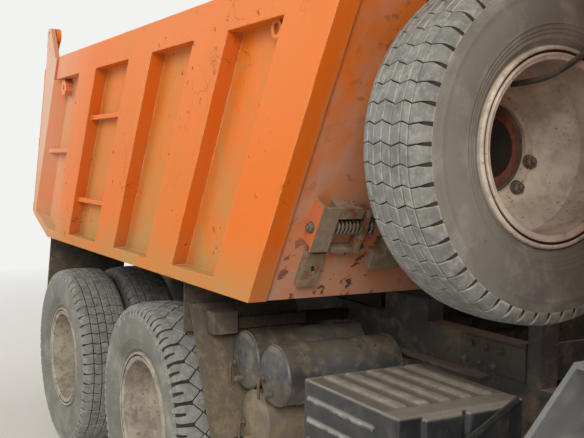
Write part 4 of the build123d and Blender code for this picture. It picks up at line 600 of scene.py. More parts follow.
# %% The crown, and blocks wrapped on it
tyre_low, tyre_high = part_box("front_tyre_right")
TYRE_R = (tyre_high.z - tyre_low.z) / 2 / MM
crown_across = [0, 40, 80, 104, 118, 127, 133, 137, 139]
crown_radius = [TYRE_R - drop for drop in (0.4, 1.4, 4.6, 8.5, 14, 22, 34, 50, 72)]


def on_crown(across, round_mm, depth):
    """A point of the tread: across and round in mm, depth below the surface along its normal."""
    before, radius, after = np.interp(abs(across) + np.array((-1, 0, 1)), crown_across, crown_radius)
    slope = (after - before) / 2
    length = hypot(1, slope)
    y = across + (1 if across >= 0 else -1) * depth * slope / length
    r, turn = radius - depth / length, round_mm / TYRE_R
    return (r * sin(turn) * MM, y * MM, r * cos(turn) * MM)


def tread_block(stations, depth, chamfer=2.0):
    """A block from stations of (across, low, high), across rising; low and high are places round the tyre."""
    loop = [(a, low) for a, low, high in stations] + [(a, high) for a, low, high in stations[::-1]]
    count, size = len(stations), len(loop)
    middle = (stations[0][0] + stations[-1][0]) / 2
    inset = []
    for index, (a, v) in enumerate(loop):
        at_end = index in (0, count - 1, count, size - 1)
        inset.append((a + (chamfer if a < middle else -chamfer) * at_end,
                      v + (chamfer if index < count else -chamfer)))
    points = [on_crown(a, v, d) for edge, d in ((loop, depth), (loop, chamfer), (inset, 0.0)) for a, v in edge]
    top = 2 * size
    faces = bands(size, 3) + [(top + i, top + i + 1, top + size - 2 - i, top + size - 1 - i) for i in range(count - 1)]
    return points, [face[::-1] for face in faces], [0.0] * size + [0.8] * size + [1.0] * size


def one_pitch(blocks):
    """The blocks of one pitch as one mesh, with how far each point is up from the groove's floor."""
    points, faces = join_lists([block[:2] for block in blocks])
    return points, faces, [value for block in blocks for value in block[2]]


def wave(across, tall=5.0, long=74.0):
    """How far a cross groove wanders round the tyre at a place across it."""
    return tall * sin(tau * across / long)


# %% Three treads, each as the blocks of one pitch
def block_rows(pitch, gap, columns, shoulder_in):
    """Rows of near-square blocks and shoulder blocks that run down over the edge."""
    blocks = []
    half = pitch / 2 - gap / 2
    for start, end in columns:
        shift = wave((start + end) / 2, 4.0, 180.0)
        row = [(a, shift - half + wave(a), shift + half + wave(a)) for a in (start, (start + end) / 2, end)]
        blocks.append(tread_block(row, 12))
    for side in (-1, 1):
        row = []
        for reach in (shoulder_in, 104, 118, 127, 133, 137):
            lean = side * 2.0 + wave(side * min(reach, 110)) * (1 - max(0, reach - 110) / 40)
            thin = max(0.0, reach - 118) * 0.25
            row.append((side * reach, lean - half + thin, lean + half - thin))
        blocks.append(tread_block(sorted(row), 11))
    return one_pitch(blocks)


def traction(pitch):
    """Split shoulder lugs, and two interleaved rows of diamonds."""
    blocks = []
    for centre, phase in ((-25.5, 0.0), (25.5, pitch / 2)):
        diamond = [(centre + a, phase - half, phase + half) for a, half in ((-41, 3), (0, 43), (41, 3))]
        blocks.append(tread_block(diamond, 15))
    for side in (-1, 1):
        middle = pitch / 2 if side < 0 else 0.0
        lug = [(side * reach, middle - half, middle + half) for reach, half in ((34, 3), (68, 35), (84, 37), (100, 37))]
        blocks.append(tread_block(sorted(lug), 15))
        for way in (-1, 1):
            finger = []
            for reach, inner, outer in ((98, 5, 37), (112, 6, 38), (122, 7, 38), (130, 8, 37), (136, 9, 34),
                                        (139, 11, 30)):
                finger.append((side * reach, *sorted((middle + way * inner, middle + way * outer))))
            blocks.append(tread_block(sorted(finger), 13, 1.5))
    return one_pitch(blocks)


SMALL_PITCH, LONG_PITCH = 58, 36   # pitches round the tyre
treads = {
    "rib": (block_rows(tau * TYRE_R / SMALL_PITCH, 4.0, [(-86, -58), (-54, -21), (-17, 17), (21, 54), (58, 86)], 90),
            SMALL_PITCH),
    "traction": (traction(tau * TYRE_R / LONG_PITCH), LONG_PITCH),
    "block": (block_rows(tau * TYRE_R / SMALL_PITCH, 5.0, [(-84, -46), (-41, -3), (3, 41), (46, 84)], 89), SMALL_PITCH),
}
print("faces in one pitch", {kind: len(tread[1]) for kind, (tread, count) in treads.items()})

# %% The carcass: bead, moulded rings, side wall, shoulder and the floor of the grooves
BEAD_R = 290
wall_profile = [
    # across, and how far up from the bead, where 1 is the tread
    (108, 0.028), (113, 0.06), (117, 0.076), (119, 0.092), (118.6, 0.108), (123, 0.144), (124.4, 0.148),
    (124.6, 0.164), (127.6, 0.192), (129, 0.196), (129.2, 0.212), (132.2, 0.248), (133.6, 0.252), (133.8, 0.268),
    (136.5, 0.32), (138.6, 0.392), (139.8, 0.48), (138.6, 0.568), (137.2, 0.616), (138.2, 0.632), (138.2, 0.652),
    (136.6, 0.668), (136.2, 0.72), (134.0, 0.784), (129.5, 0.836), (122, 0.876), (112, 0.908), (92, 0.934),
    (60, 0.9464), (0, 0.952),
]
side_profile = [(91, 262.4), (101, 283), (104, BEAD_R)]
side_profile += [(a, BEAD_R + up * (TYRE_R - BEAD_R)) for a, up in wall_profile]
carcass_profile = side_profile + [(-a, r) for a, r in side_profile[-2::-1]]
floor_from = next(i for i, (a, r) in enumerate(side_profile) if r > TYRE_R - 50)


def tyre(name, tread, count):
    """A whole tyre about the local Y axis."""
    points, faces = lathe(carcass_profile, 120)
    size = len(carcass_profile)
    # Faces from the shoulders over the crown take the near-black groove paint: painted shade between the blocks
    slots = [floor_from <= index % size < size - floor_from - 1 for index in range(len(faces))]
    carcass = mesh_object(name + "_carcass", points, faces, (paint["side_wall"], paint["groove_shade"]), 40, slots)
    points, faces, lift = tread
    blocks = copies(name + "_blocks", points, faces, count, "tread", turn=tau / count, lift=lift)
    return joined(name, [carcass, blocks])


# %% The tyres on their wheels, each in place of its plain CAD node
def facing(x, y, side=1):
    """A place on an axle along Y, with the piece's own +Y pointing outwards."""
    return Matrix.Translation((x, y, TYRE_R * MM)) @ Matrix.Rotation(0 if side > 0 else pi, 4, "Z")


FRONT_X, FRONT_Y = (tyre_low.x + tyre_high.x) / 2, (tyre_low.y + tyre_high.y) / 2
TWIN_SHIFT = 0.155
ALONG_X = Matrix.Rotation(-pi / 2, 4, "Z")
spare_middle = sum(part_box("spare_tyre"), Vector()) / 2
spare_at = Matrix.Translation(spare_middle) @ ALONG_X
twin_middle = {}
tyre_places = []
for hand, side in (("left", 1), ("right", -1)):
    tyre_places.append((f"front_tyre_{hand}", "rib", [facing(FRONT_X, -side * FRONT_Y)]))
    for station, kind in (("middle", "traction"), ("rear", "block")):
        middle = sum(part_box(f"tyres_{station}_{hand}"), Vector()) / 2
        twin_middle[station, hand] = x, y = middle.x, middle.y
        tyre_places.append((f"tyres_{station}_{hand}", kind, [facing(x, y + out) for out in (-TWIN_SHIFT, TWIN_SHIFT)]))
tyre_places.append(("spare_tyre", "rib", [spare_at]))
plain_tyre = {kind: tyre("tyre_" + kind, tread, count) for kind, (tread, count) in treads.items()}
for node, kind, places in tyre_places:
    piece = copies_at(node + "_rubber", plain_tyre[kind], places)
    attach(piece, node_body[node])
    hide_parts(node)
    print(piece.name, "faces", len(piece.data.polygons))
for obj in plain_tyre.values():
    bpy.data.objects.remove(obj)

# %% [markdown]
# ## Rims, nuts and the spare's hub
# The rim's flange ends in a loose side ring that a split lock ring holds, so the tyre can be changed with
# two levers. From outside that reads as two light rings with a dark gap, then the beige gutter. The rings
# are turned pieces seated on the rim that CAD made, and the nuts are one hexagon repeated round the disc.

# %% Side ring, dark gap, lock ring and gutter
ring_profile = [
    # across, radius
    (112.2, 250.4), (114.0, 254.5), (115.2, 259.5), (118.6, 262.4), (119.8, 266.0), (118.0, 269.2), (112.8, 269.8),
    (112.8, 276.4), (117.6, 277.0), (120.4, 280.5), (120.6, 285.0), (118.4, 288.6), (112.2, 290.0),
]
points, faces = lathe(ring_profile)
# The faces in the gap between the rings take the near-black painted shade
gap_shade_slots = [index % len(ring_profile) in (6, 7) for index in range(len(faces))]
rim_rings = mesh_object("rim_rings", points, faces, (paint["wheel"], paint["shadow"]), 50, gap_shade_slots)


# %% A hexagon nut with its stud, standing out along Y
def nut_mesh(wide=32, tall=20, stud=9):
    """A nut on its washer, its corners turned down, and the stud's end in it."""
    parts = []
    corner = wide / 2 / cos(pi / 6)
    for sides, *levels in ((16, (0, wide * 0.68), (3, wide * 0.68)),
                           (6, (3, corner), (tall - 3, corner), (tall, wide * 0.46)),
                           (10, (tall, wide * 0.27), (tall + stud - 2, wide * 0.27), (tall + stud, wide * 0.19))):
        points = [(radius * sin(tau * i / sides) * MM, across * MM, radius * cos(tau * i / sides) * MM)
                  for across, radius in levels for i in range(sides)]
        top = range(len(points) - 1, len(points) - sides - 1, -1)
        parts.append((points, [(a, d, c, b) for a, b, c, d in bands(sides, len(levels))] + [tuple(top)]))
    return join_lists(parts)


def round_axle(name, mesh, out_mm, count):
    """A ring of one fastener round the axle."""
    points, faces = mesh
    return copies(name, np.array(points) + (0, 0, out_mm * MM), faces, count, "steel", turn=tau / count)


NUT_COUNT = 10
nut_ring = round_axle("nut_ring", nut_mesh(), 161, NUT_COUNT)
flange_bolts = round_axle("flange_bolts", nut_mesh(17, 9, 3), 100, 12)
print("nuts in a ring", NUT_COUNT)


# %% The dressing of each wheel, or of each pair of twins
def wheel_dressing(name, body, x, y, side, ring_places, nuts_out, bolts_out):
    """Rings, nuts and hub bolts; the last two stand this far outwards of the wheel's middle."""
    dressing = joined(name, [copies_at("rings", rim_rings, ring_places),
                             copies_at("nuts", nut_ring, [facing(x, y + side * nuts_out, side)]),
                             copies_at("bolts", flange_bolts, [facing(x, y + side * bolts_out, side)])])
    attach(dressing, body)


DISH, DISC_T = 0.155, 0.014
for hand, side in (("left", 1), ("right", -1)):
    y = -side * FRONT_Y
    wheel_dressing(f"front_rim_dressing_{hand}", f"front_wheel_{hand}", FRONT_X, y, side, [facing(FRONT_X, y, side)],
                   DISH, DISH + 0.0405)
    for station in ("middle", "rear"):
        x, y = twin_middle[station, hand]
        rings = [facing(x, y + way * TWIN_SHIFT, way) for way in (side, -side)]
        wheel_dressing(f"{station}_rim_dressing_{hand}", f"twin_{station}_{hand}", x, y, side, rings, DISC_T, 0.060)

# %% The spare: its rings, the nuts that hold it, and the oxide ring round a dark bore behind it
seat_x = spare_middle.x - DISH
spare_seat = [Matrix.Translation((seat_x + 0.0004, spare_middle.y, spare_middle.z)) @ ALONG_X]
oxide_ring = turned("oxide_ring", [(0, 93), (0, 123), (4, 123), (6, 119), (6, 97), (4, 93)], 64, "primer")
# A near-black disc in the bore: painted shade where the hub lies open behind the disc
dark_bore = turned("dark_bore", [(0, 0.5), (0, 92), (1.5, 92), (1.5, 0.5)], 48, "shadow")
nut_places = []
for turn in map(radians, (-14, -50, 130)):
    place = (seat_x + DISC_T, spare_middle.y + 0.156 * cos(turn), spare_middle.z + 0.156 * sin(turn))
    nut_places.append(Matrix.Translation(place) @ ALONG_X)
spare_nut = mesh_object("spare_nut", *nut_mesh(34, 22, 12), (paint["steel"],))
spare_dressing = joined("spare_dressing", [
    copies_at("rings", rim_rings, [spare_at]), moved_to("oxide", oxide_ring, spare_seat),
    moved_to("bore", dark_bore, spare_seat), moved_to("nuts", spare_nut, nut_places)])
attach(spare_dressing, "chassis")
for obj in (rim_rings, nut_ring, flange_bolts):
    bpy.data.objects.remove(obj)

# %% [markdown]
# ## Rods and plates
# Two ways of making cover most small parts. A round bar, wire or seal is a bevelled curve made into a
# mesh. A plate or block is a box with its edges rounded, because no real edge is sharp.


# %% Round bars swept along a route
def swept(name, route, radius, coat, closed=False, bend=True, sides=2):
    """A round bar along a route of points in metres, rounded through its corners where bend is true."""
    line = bpy.data.curves.new(name + "_line", "CURVE")
    line.dimensions = "3D"
    spline = line.splines.new("NURBS" if bend else "POLY")
    spline.points.add(len(route) - 1)
    for point, place in zip(spline.points, route):
        point.co = (*place, 1)
    spline.use_cyclic_u = closed
    if bend:
        spline.order_u = 3
        spline.use_endpoint_u = not closed
        spline.resolution_u = 6
    line.bevel_depth, line.bevel_resolution, line.use_fill_caps = radius, sides, not closed
    line.materials.append(paint[coat])
    bar = made_plain(shown(name + "_line", line), name)
    bar.data.shade_smooth()
    return bar


def loop(name, points, radius, coat):
    """A closed bar that follows an outline exactly, such as a window's seal."""
    return swept(name, points, radius, coat, closed=True, bend=False)


def rounded(corners, radius=0.036, steps=4):
    """A closed outline with its corners rounded, as points in two dimensions."""
    line = []
    for i, corner in enumerate(corners):
        corner = Vector(corner)
        before = (Vector(corners[i - 1]) - corner).normalized()
        after = (Vector(corners[(i + 1) % len(corners)]) - corner).normalized()
        start, end = corner + before * radius, corner + after * radius
        for k in range(steps + 1):
            t = k / steps
            line.append(tuple(start * (1 - t) ** 2 + corner * 2 * t * (1 - t) + end * t ** 2))
    return line


def rectangle(low_a, low_b, high_a, high_b):
    """The four corners of an upright rectangle, for an outline."""
    return [(low_a, low_b), (high_a, low_b), (high_a, high_b), (low_a, high_b)]


# %% Plates and blocks with rounded edges
def box_lists(low, high):
    """Points and faces of a box between two corners in metres."""
    (a, b, c), (d, e, f) = map(min, zip(low, high)), map(max, zip(low, high))
    points = [(a, b, c), (d, b, c), (d, e, c), (a, e, c), (a, b, f), (d, b, f), (d, e, f), (a, e, f)]
    return points, [(3, 2, 1, 0), (4, 5, 6, 7), (0, 1, 5, 4), (1, 2, 6, 5), (2, 3, 7, 6), (3, 0, 4, 7)]


def boxes(name, corners, coat):
    """Sharp boxes given as (low, high) corners in metres."""
    return mesh_object(name, *join_lists([box_lists(low, high) for low, high in corners]), (paint[coat],))


def plates(name, corners, coat, round_mm=2.0, steps=2, turn=None):
    """Boxes with their edges rounded, turned by a matrix if one is given."""
    plain = made_plain(boxes(name, corners, coat), name,
                       ("BEVEL", {"width": round_mm * MM, "segments": steps, "limit_method": "ANGLE"}))
    if turn is not None:
        plain.data.transform(turn)
    plain.data.shade_smooth()
    plain.data.set_sharp_from_angle(angle=radians(40))
    return plain


# %% [markdown]
# ## Rivets and bolts of the frame
# The rails are riveted at their crossmembers and brackets, and the sub-frame is bolted to them through side
# plates. The heads that show in the photograph, behind the battery box, stand where they were measured there.

# %% Rows of rivets along both rails
rivet_points, rivet_faces = lathe([(-1, 0.4), (-1, 11), (2.5, 10.4), (5.5, 7), (7.2, 0.4)], 12)
rail_low, rail_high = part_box("frame_rails")
RAIL_FACE = 0.430
RIVET_STEP = 0.155
count = int((rail_high.x - rail_low.x - 0.18) / RIVET_STEP)
rail_rivets = []
for side in (-1, 1):
    standing = facing_way(rivet_points, (0, side, 0))
    for z in (0.745, 0.895):
        rail_rivets.append(copies("rivets", standing, rivet_faces, count, "frame",
                                  (rail_low.x + 0.09, side * RAIL_FACE, z), (RIVET_STEP, 0, 0), smooth_under=35))
rail_rivets = joined("rail_rivets", rail_rivets)
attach(rail_rivets, "chassis")
print("rivets", 4 * count)

# %% Side plates of the sub-frame, each with its bolts
side_plate_x = [-2.45, -1.55, -0.62, 0.215]
plate_boxes = [((x - 0.165, -RAIL_FACE - 0.007, 0.958), (x + 0.165, -RAIL_FACE + 0.0005, 1.073)) for x in side_plate_x]
fish_plates = both_sides(plates("fish_plates", plate_boxes, "frame", 1.5))
bolt_points, bolt_faces = nut_mesh(24, 13, 5)
standing = facing_way(bolt_points, (0, -1, 0))
plate_bolts = [copies("bolts", standing, bolt_faces, 3, "steel", (x - 0.12 + shift, -RAIL_FACE - 0.007, z),
                      (0.075, 0, 0), smooth_under=30)
               for x in side_plate_x for z, shift in ((0.985, -0.01), (1.045, 0.02))]
frame_fixings = joined("frame_fixings", [fish_plates, both_sides(joined("plate_bolts", plate_bolts))])
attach(frame_fixings, "chassis")
print("side plates", 2 * len(side_plate_x))

# %% [markdown]
# ## Seats
# A truck seat is foam under a tight woven cover: crowned on top, pulled in a little along its sides, and
# sewn in channels. A hard outline would look like a box, so each cushion and back is meshed, blown up from
# inside by the cloth simulation, which gives the even tension of a filled cover, and then sewn: the
# surface is drawn in along the seams.

# %% The outlines of a cushion and a back, from the plain seats of the CAD model
seat_low, seat_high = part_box("seats")
SEAT_FRONT, SEAT_TOP = seat_high.x, seat_high.z
CUSHION_TOP = SEAT_TOP - 0.630
seat_middles = [
    # middle in Y, width
    (0.700, 0.480),
    (-0.740, 0.580),
]
cushion_side = [(SEAT_FRONT - 0.520, CUSHION_TOP - 0.104), (SEAT_FRONT - 0.022, CUSHION_TOP - 0.094),
                (SEAT_FRONT - 0.014, CUSHION_TOP - 0.020), (SEAT_FRONT - 0.372, CUSHION_TOP - 0.036)]
back_side = [(SEAT_FRONT - 0.538, CUSHION_TOP - 0.080), (SEAT_FRONT - 0.390, CUSHION_TOP - 0.030),
             (SEAT_FRONT - 0.512, SEAT_TOP - 0.016), (SEAT_FRONT - 0.596, SEAT_TOP - 0.016)]
SEAT_VOXEL = 0.016
SWELL_LIMIT = 0.013
FILLING_FRAMES = 20


def places_of(obj):
    """The places of a mesh's vertices, one row each."""
    return np.array([corner.co for corner in obj.data.vertices])


def put_at(obj, points):
    """Move a mesh's vertices to new places."""
    obj.data.vertices.foreach_set("co", points.ravel())
    obj.data.update()


def filled(name, outline, middle, width):
    """A cover cut to a side outline, its sides drawn in between the corners, then filled."""
    low, high = middle - width / 2 + 0.010, middle + width / 2 - 0.010
    steps, count = 9, len(outline)
    points = [(x, low + (high - low) * i / (steps - 1), z) for i in range(steps) for x, z in outline]
    faces = bands(count, steps) + [tuple(range(count - 1, -1, -1)), tuple(range((steps - 1) * count, steps * count))]
    obj = mesh_object(name, points, faces, (paint["seat"],))
    build = bmesh.new()
    build.from_mesh(obj.data)
    bmesh.ops.recalc_face_normals(build, faces=build.faces)
    build.to_mesh(obj.data)
    build.free()
    obj = made_plain(obj, name, ("BEVEL", {"width": 0.020, "segments": 3}),
                     ("REMESH", {"mode": "VOXEL", "voxel_size": SEAT_VOXEL}))
    before = places_of(obj)
    cloth = obj.modifiers.new("filling", "CLOTH")
    cloth.settings.quality = 4
    cloth.settings.use_pressure = True
    cloth.settings.uniform_pressure_force = 4.0
    cloth.settings.effector_weights.gravity = 0.0
    cloth.settings.tension_stiffness = 25
    cloth.point_cache.frame_start, cloth.point_cache.frame_end = 1, FILLING_FRAMES
    for frame_number in range(1, FILLING_FRAMES + 1):
        scene.frame_set(frame_number)
    obj = made_plain(obj, name)
    scene.frame_set(1)
    moved_by = places_of(obj) - before
    length = np.maximum(np.linalg.norm(moved_by, axis=1, keepdims=True), 1e-9)
    put_at(obj, before + moved_by * np.minimum(1.0, SWELL_LIMIT / length))
    return made_plain(obj, name, ("SUBSURF", {"levels": 1, "render_levels": 1}))


def sewn(obj, seams, depth=0.007, wide=0.008):
    """Draw the surface in along seams, each given as (axis index, place)."""
    points = places_of(obj)
    normals = np.array([corner.normal for corner in obj.data.vertices])
    drawn = np.max([np.exp(-((points[:, axis] - place) / wide) ** 2) for axis, place in seams], axis=0)
    put_at(obj, points - normals * (drawn * depth)[:, None])
    obj.data.shade_smooth()
    return obj


# %% Four filled pieces, sewn in channels
filled_pieces = []
for number, (middle, width) in enumerate(seat_middles):
    channels = [(1, middle + part * width) for part in (-0.27, 0.27)]
    cushion = filled(f"cushion_{number}", cushion_side, middle, width)
    filled_pieces.append(sewn(cushion, [*channels, (0, SEAT_FRONT - 0.100)]))
    back = filled(f"back_{number}", back_side, middle, width)
    filled_pieces.append(sewn(back, [*channels, (2, SEAT_TOP - 0.170)]))
seat_padding = joined("seat_padding", filled_pieces)
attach(seat_padding, node_body["seats"])
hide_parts("seats")
print("padding faces", len(seat_padding.data.polygons))

# %% The steel boxes that the seats stand on
seat_boxes = plates("seat_boxes", [((SEAT_FRONT - 0.450, middle - width / 2 + 0.060, seat_low.z),
                                    (SEAT_FRONT - 0.090, middle + width / 2 - 0.060, CUSHION_TOP - 0.100))
                                   for middle, width in seat_middles], "trim", 8)
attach(seat_boxes, node_body["seats"])

# %% [markdown]
# ## The spring latches on the front wall
# On each front corner of the body a coil spring sits on the latch's rod between its two ears. A coil is a
# wire along a helix, so it is swept the same way as any rod, with its route worked out from radius,
# pitch and turns.

# %% Springs, their washers and the rod's nut
ROD_X, ROD_Z = 0.0622, 1.4831
COIL_R, WIRE_R = 0.0255, 0.0042


def coil(name, low_y, high_y, turns):
    """A coil spring about the rod."""
    steps = int(turns * 14)
    route = []
    for part in (i / steps for i in range(steps + 1)):
        angle = tau * turns * part
        route.append((ROD_X + COIL_R * cos(angle), low_y + (high_y - low_y) * part, ROD_Z + COIL_R * sin(angle)))
    return swept(name, route, WIRE_R, "steel", bend=False, sides=1)


washer = turned("washer", [(-1.5, 12), (-1.5, 30), (1.5, 30), (1.5, 12)], 24, "steel")
points, faces = nut_mesh(30, 16, 8)
rod_nut = mesh_object("rod_nut", facing_way(points, (0, -1, 0)), faces, (paint["steel"],))
latch_springs = both_sides(joined("latch_springs", [
    coil("long_spring", -1.028, -0.922, 7.0), coil("short_spring", -0.894, -0.866, 1.8),
    moved_to("washers", washer, [Matrix.Translation((ROD_X, y, ROD_Z)) for y in (-1.033, -0.917, -0.899, -0.859)]),
    moved_to("rod_nut", rod_nut, [Matrix.Translation((ROD_X, -1.104, ROD_Z))])]))
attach(latch_springs, "bed")
print("spring faces", len(latch_springs.data.polygons))

# %% [markdown]
# ## The cab's trim
# Pressed panels alone look like a model. What makes a cab is the rubber round its glass, the wipers, the
# rain gutter, the lamps' rims and the mirrors' glass. The seals follow each opening's outline, so they are
# swept along it. Lenses are coloured plastic over a black housing.

# %% Door openings: an outer and an inner seal, the lock and the keyhole on each door
CAB_SIDE = 1.200
window_line = rounded([(2.049, 1.874), (2.841, 1.874), (2.782, 2.595), (2.049, 2.595)])
for hand, side in (("left", 1), ("right", -1)):
    outer = loop("seal", [(x, side * (CAB_SIDE + 0.001), z) for x, z in window_line], 0.009, "seal")
    inner = loop("seal", [(x, side * (CAB_SIDE - 0.050), z) for x, z in window_line], 0.008, "seal")
    lock = plates("lock", [((2.050, side * 1.2005, 1.735), (2.150, side * 1.2035, 1.775))], "seal", 1)
    knob = turned("knob", [(0, 0.4), (0, 11), (4, 11), (5, 8), (5, 0.4)], 20, "bright", 35)
    keyhole = moved_to("keyhole", knob, [Matrix.Translation((2.205, side * 1.1995, 1.752))
                                         @ Matrix.Rotation(0 if side > 0 else pi, 4, "Z")])
    trim = joined(f"door_trim_{hand}", [outer, inner, lock, keyhole])
    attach(trim, f"door_{hand}")


# %% Windscreen, quarter and back windows
def on_screen(y, z, out=0.0):
    """A point on the windscreen's outer face, out being the distance in front of it."""
    return (3.222 - (z - 1.800) * 0.130 / 0.900 + out, y, z)


screen = rounded(rectangle(-1.132, 1.822, 1.132, 2.684), 0.07, 5)
quarter = rounded(rectangle(1.464, 1.944, 1.826, 2.546), 0.03, 3)
seals = [loop("seal", [on_screen(y, z, 0.003) for y, z in screen], 0.014, "seal")]
for side in (-1, 1):
    seals.append(loop("seal", [(x, side * (CAB_SIDE + 0.001), z) for x, z in quarter], 0.009, "seal"))
    back = rounded(rectangle(side * 0.520 - 0.211, 2.084, side * 0.520 + 0.211, 2.476), 0.05)
    seals.append(loop("seal", [(1.309, y, z) for y, z in back], 0.010, "seal"))
window_seals = joined("window_seals", seals)
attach(window_seals, node_body["cab_sides"])

# %% Wipers: a pivot, an arm and a blade on each side
wiper_parts = []
for middle in (-0.62, 0.30):
    arm = [(0.0, 1.790, 0.020), (0.15, 1.850, 0.036), (0.40, 1.960, 0.026)]
    blade = [(0.13, 1.875, 0.013), (0.40, 1.950, 0.018), (0.66, 2.030, 0.013)]
    for name, line, radius in (("arm", arm, 0.006), ("blade", blade, 0.007)):
        wiper_parts.append(swept(name, [on_screen(middle + y, z, out) for y, z, out in line], radius, "seal"))
    hub = turned("hub", [(0, 0.4), (0, 16), (10, 16), (16, 10), (17, 0.4)], 20, "seal", 40, (1, 0, 0.14))
    wiper_parts.append(moved_to("hub", hub, [Matrix.Translation(on_screen(middle, 1.790, 0.006))]))
wipers = joined("wipers", wiper_parts)
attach(wipers, node_body["cab_front"])

# %% Gutters, roof hatch and step studs
gutter_line = [(1.400, -1.204, 2.696), (3.020, -1.204, 2.696), (3.085, -1.180, 2.690)]
gutter = both_sides(swept("gutter", gutter_line, 0.007, "cab"))
hatch = plates("hatch", [((2.150, -0.260, 2.848), (2.620, 0.260, 2.864))], "cab", 6, 3)
cab_trim = joined("cab_trim", [gutter, hatch])
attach(cab_trim, node_body["cab_roof"])
points, stud_faces = lathe([(-1, 0.4), (-1, 7), (3, 6), (4, 0.4)], 8)
stud_points = facing_way(points, (0, 0, 1))
step_studs = both_sides(joined("step_studs", [
    copies("studs", stud_points, stud_faces, 6, "fender", (x, -1.190, z), (0, 0.035, 0), smooth_under=35)
    for z in (0.590, 0.900) for x in (2.72, 2.80, 2.88)]))
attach(step_studs, node_body["fenders"])

# %% Lamps: rim and reflector in front, housing and coloured lenses behind, and the corner lamps
rim = turned("lamp_rim", [(-34, 86), (-34, 92), (-20, 92), (-15, 88), (-17, 79), (-24, 79)], 48, "bright")
bowl = turned("lamp_bowl", [(-120, 0.4), (-118, 26), (-95, 52), (-60, 70), (-42, 78), (-42, 76), (-60, 67),
                            (-92, 50), (-113, 26), (-115, 0.4)], 40, "bright")
lamp_places = [Matrix.Translation((3.310, y, 0.7015)) @ ALONG_X for y in (-0.930, 0.930)]
TAIL_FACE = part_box("lamps")[0].x
lenses = [plates("housing", [((TAIL_FACE + 0.004, -0.856, 0.754), (TAIL_FACE + 0.052, -0.544, 0.896))], "plastic", 6)]
for low_y, high_y, kind in ((-0.850, -0.752, "amber_lens"), (-0.748, -0.620, "red_lens"),
                            (-0.616, -0.550, "clear_lens")):
    lenses.append(plates("lens", [((TAIL_FACE - 0.008, low_y, 0.764), (TAIL_FACE + 0.006, high_y, 0.886))], kind, 4))
lenses.append(plates("lens", [((3.232, -1.020, 1.050), (3.252, -0.870, 1.125))], "amber_lens", 6))
lamp_trim = joined("lamp_trim", [moved_to("rim", rim, lamp_places), moved_to("bowl", bowl, lamp_places),
                                 both_sides(joined("coloured_lamps", lenses))])
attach(lamp_trim, node_body["lamps"])

# %% The mirrors' glass
mirror_glass = both_sides(plates("mirror_glass", [((3.1175, -1.392, 1.958), (3.1205, -1.253, 2.342))], "mirror", 1))
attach(mirror_glass, node_body["mirrors"])
print("cab trim done")

# %% [markdown]
# ## Tanks, battery box and springs
# The tanks are rolled shells with pressed ends, so each end shows a seam, and each has a drain cock. The
# battery box is one moulding with soft corners and a diagonal strap across its front. The leaf springs are
# clamped by U-bolts, which are bent rods.

# %% Air tanks: end seams and drain cocks
AIR_OUT, AIR_IN, AIR_R = 1.055, 0.490, 115
air_axes = [(-0.300, 0.895), (-0.540, 0.905), (-0.455, 0.686)]   # X and Z of each tank's axis, from the CAD model
seam = turned("seam", [(-4, AIR_R - 1), (-2.5, AIR_R + 1.8), (2.5, AIR_R + 1.8), (4, AIR_R - 1)], 72, "tank", 50)
points, faces = nut_mesh(26, 12, 8)
cock = mesh_object("cock", facing_way(points, (0, -1, 0)), faces, (paint["cock"],), 30)
tank_parts = [
    moved_to("seams", seam, [Matrix.Translation((x, y, z)) for x, z in air_axes
                             for y in (-AIR_OUT + 0.030, -AIR_IN - 0.030)]),
    moved_to("cocks", cock, [Matrix.Translation((x - 0.052, -AIR_OUT + 0.004, z - 0.020)) for x, z in air_axes])]
for x, z in air_axes:
    start = Vector((x - 0.052, -AIR_OUT - 0.014, z - 0.020))
    spout = [start, start + Vector((0.004, -0.010, -0.012)), start + Vector((0.010, -0.008, -0.075))]
    tank_parts.append(swept("spout", spout, 0.006, "cock"))
tank_trim = joined("tank_trim", tank_parts)
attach(tank_trim, "chassis")

# %% Battery box: one moulding, its ribs run together with the walls
BATT_FRONT, BATT_REAR, BATT_OUT, BATT_IN, BATT_LOW, BATT_TOP = 0.570, 0.050, 1.120, 0.630, 0.600, 0.980
moulding = [((BATT_REAR + 0.002, -BATT_OUT + 0.002, BATT_LOW), (BATT_FRONT - 0.001, -BATT_IN, BATT_TOP - 0.001))]
for number in range(5):
    y = -BATT_OUT + 0.035 + 0.084 * (number + 0.5)
    moulding.append(((BATT_REAR + 0.034, y - 0.020, BATT_TOP - 0.010),
                     (BATT_FRONT - 0.080, y + 0.020, BATT_TOP + 0.009)))
for z in (BATT_TOP - 0.065, BATT_TOP - 0.135, BATT_TOP - 0.205):
    moulding.append(((BATT_REAR + 0.030, -BATT_OUT - 0.008, z - 0.007),
                     (BATT_FRONT - 0.110, -BATT_OUT + 0.010, z + 0.007)))
for low_y, high_y in ((0.090, 0.235), (0.255, 0.425)):
    moulding.append(((BATT_FRONT - 0.010, -BATT_OUT + low_y, BATT_LOW + 0.010),
                     (BATT_FRONT + 0.014, -BATT_OUT + high_y, BATT_TOP - 0.012)))
battery_shell = made_plain(boxes("battery_shell", moulding, "shell"), "battery_shell",
                           ("BEVEL", {"width": 0.007, "segments": 2}),
                           ("REMESH", {"mode": "VOXEL", "voxel_size": 0.005}),
                           ("SMOOTH", {"factor": 0.5, "iterations": 5}))
battery_shell.data.shade_smooth()
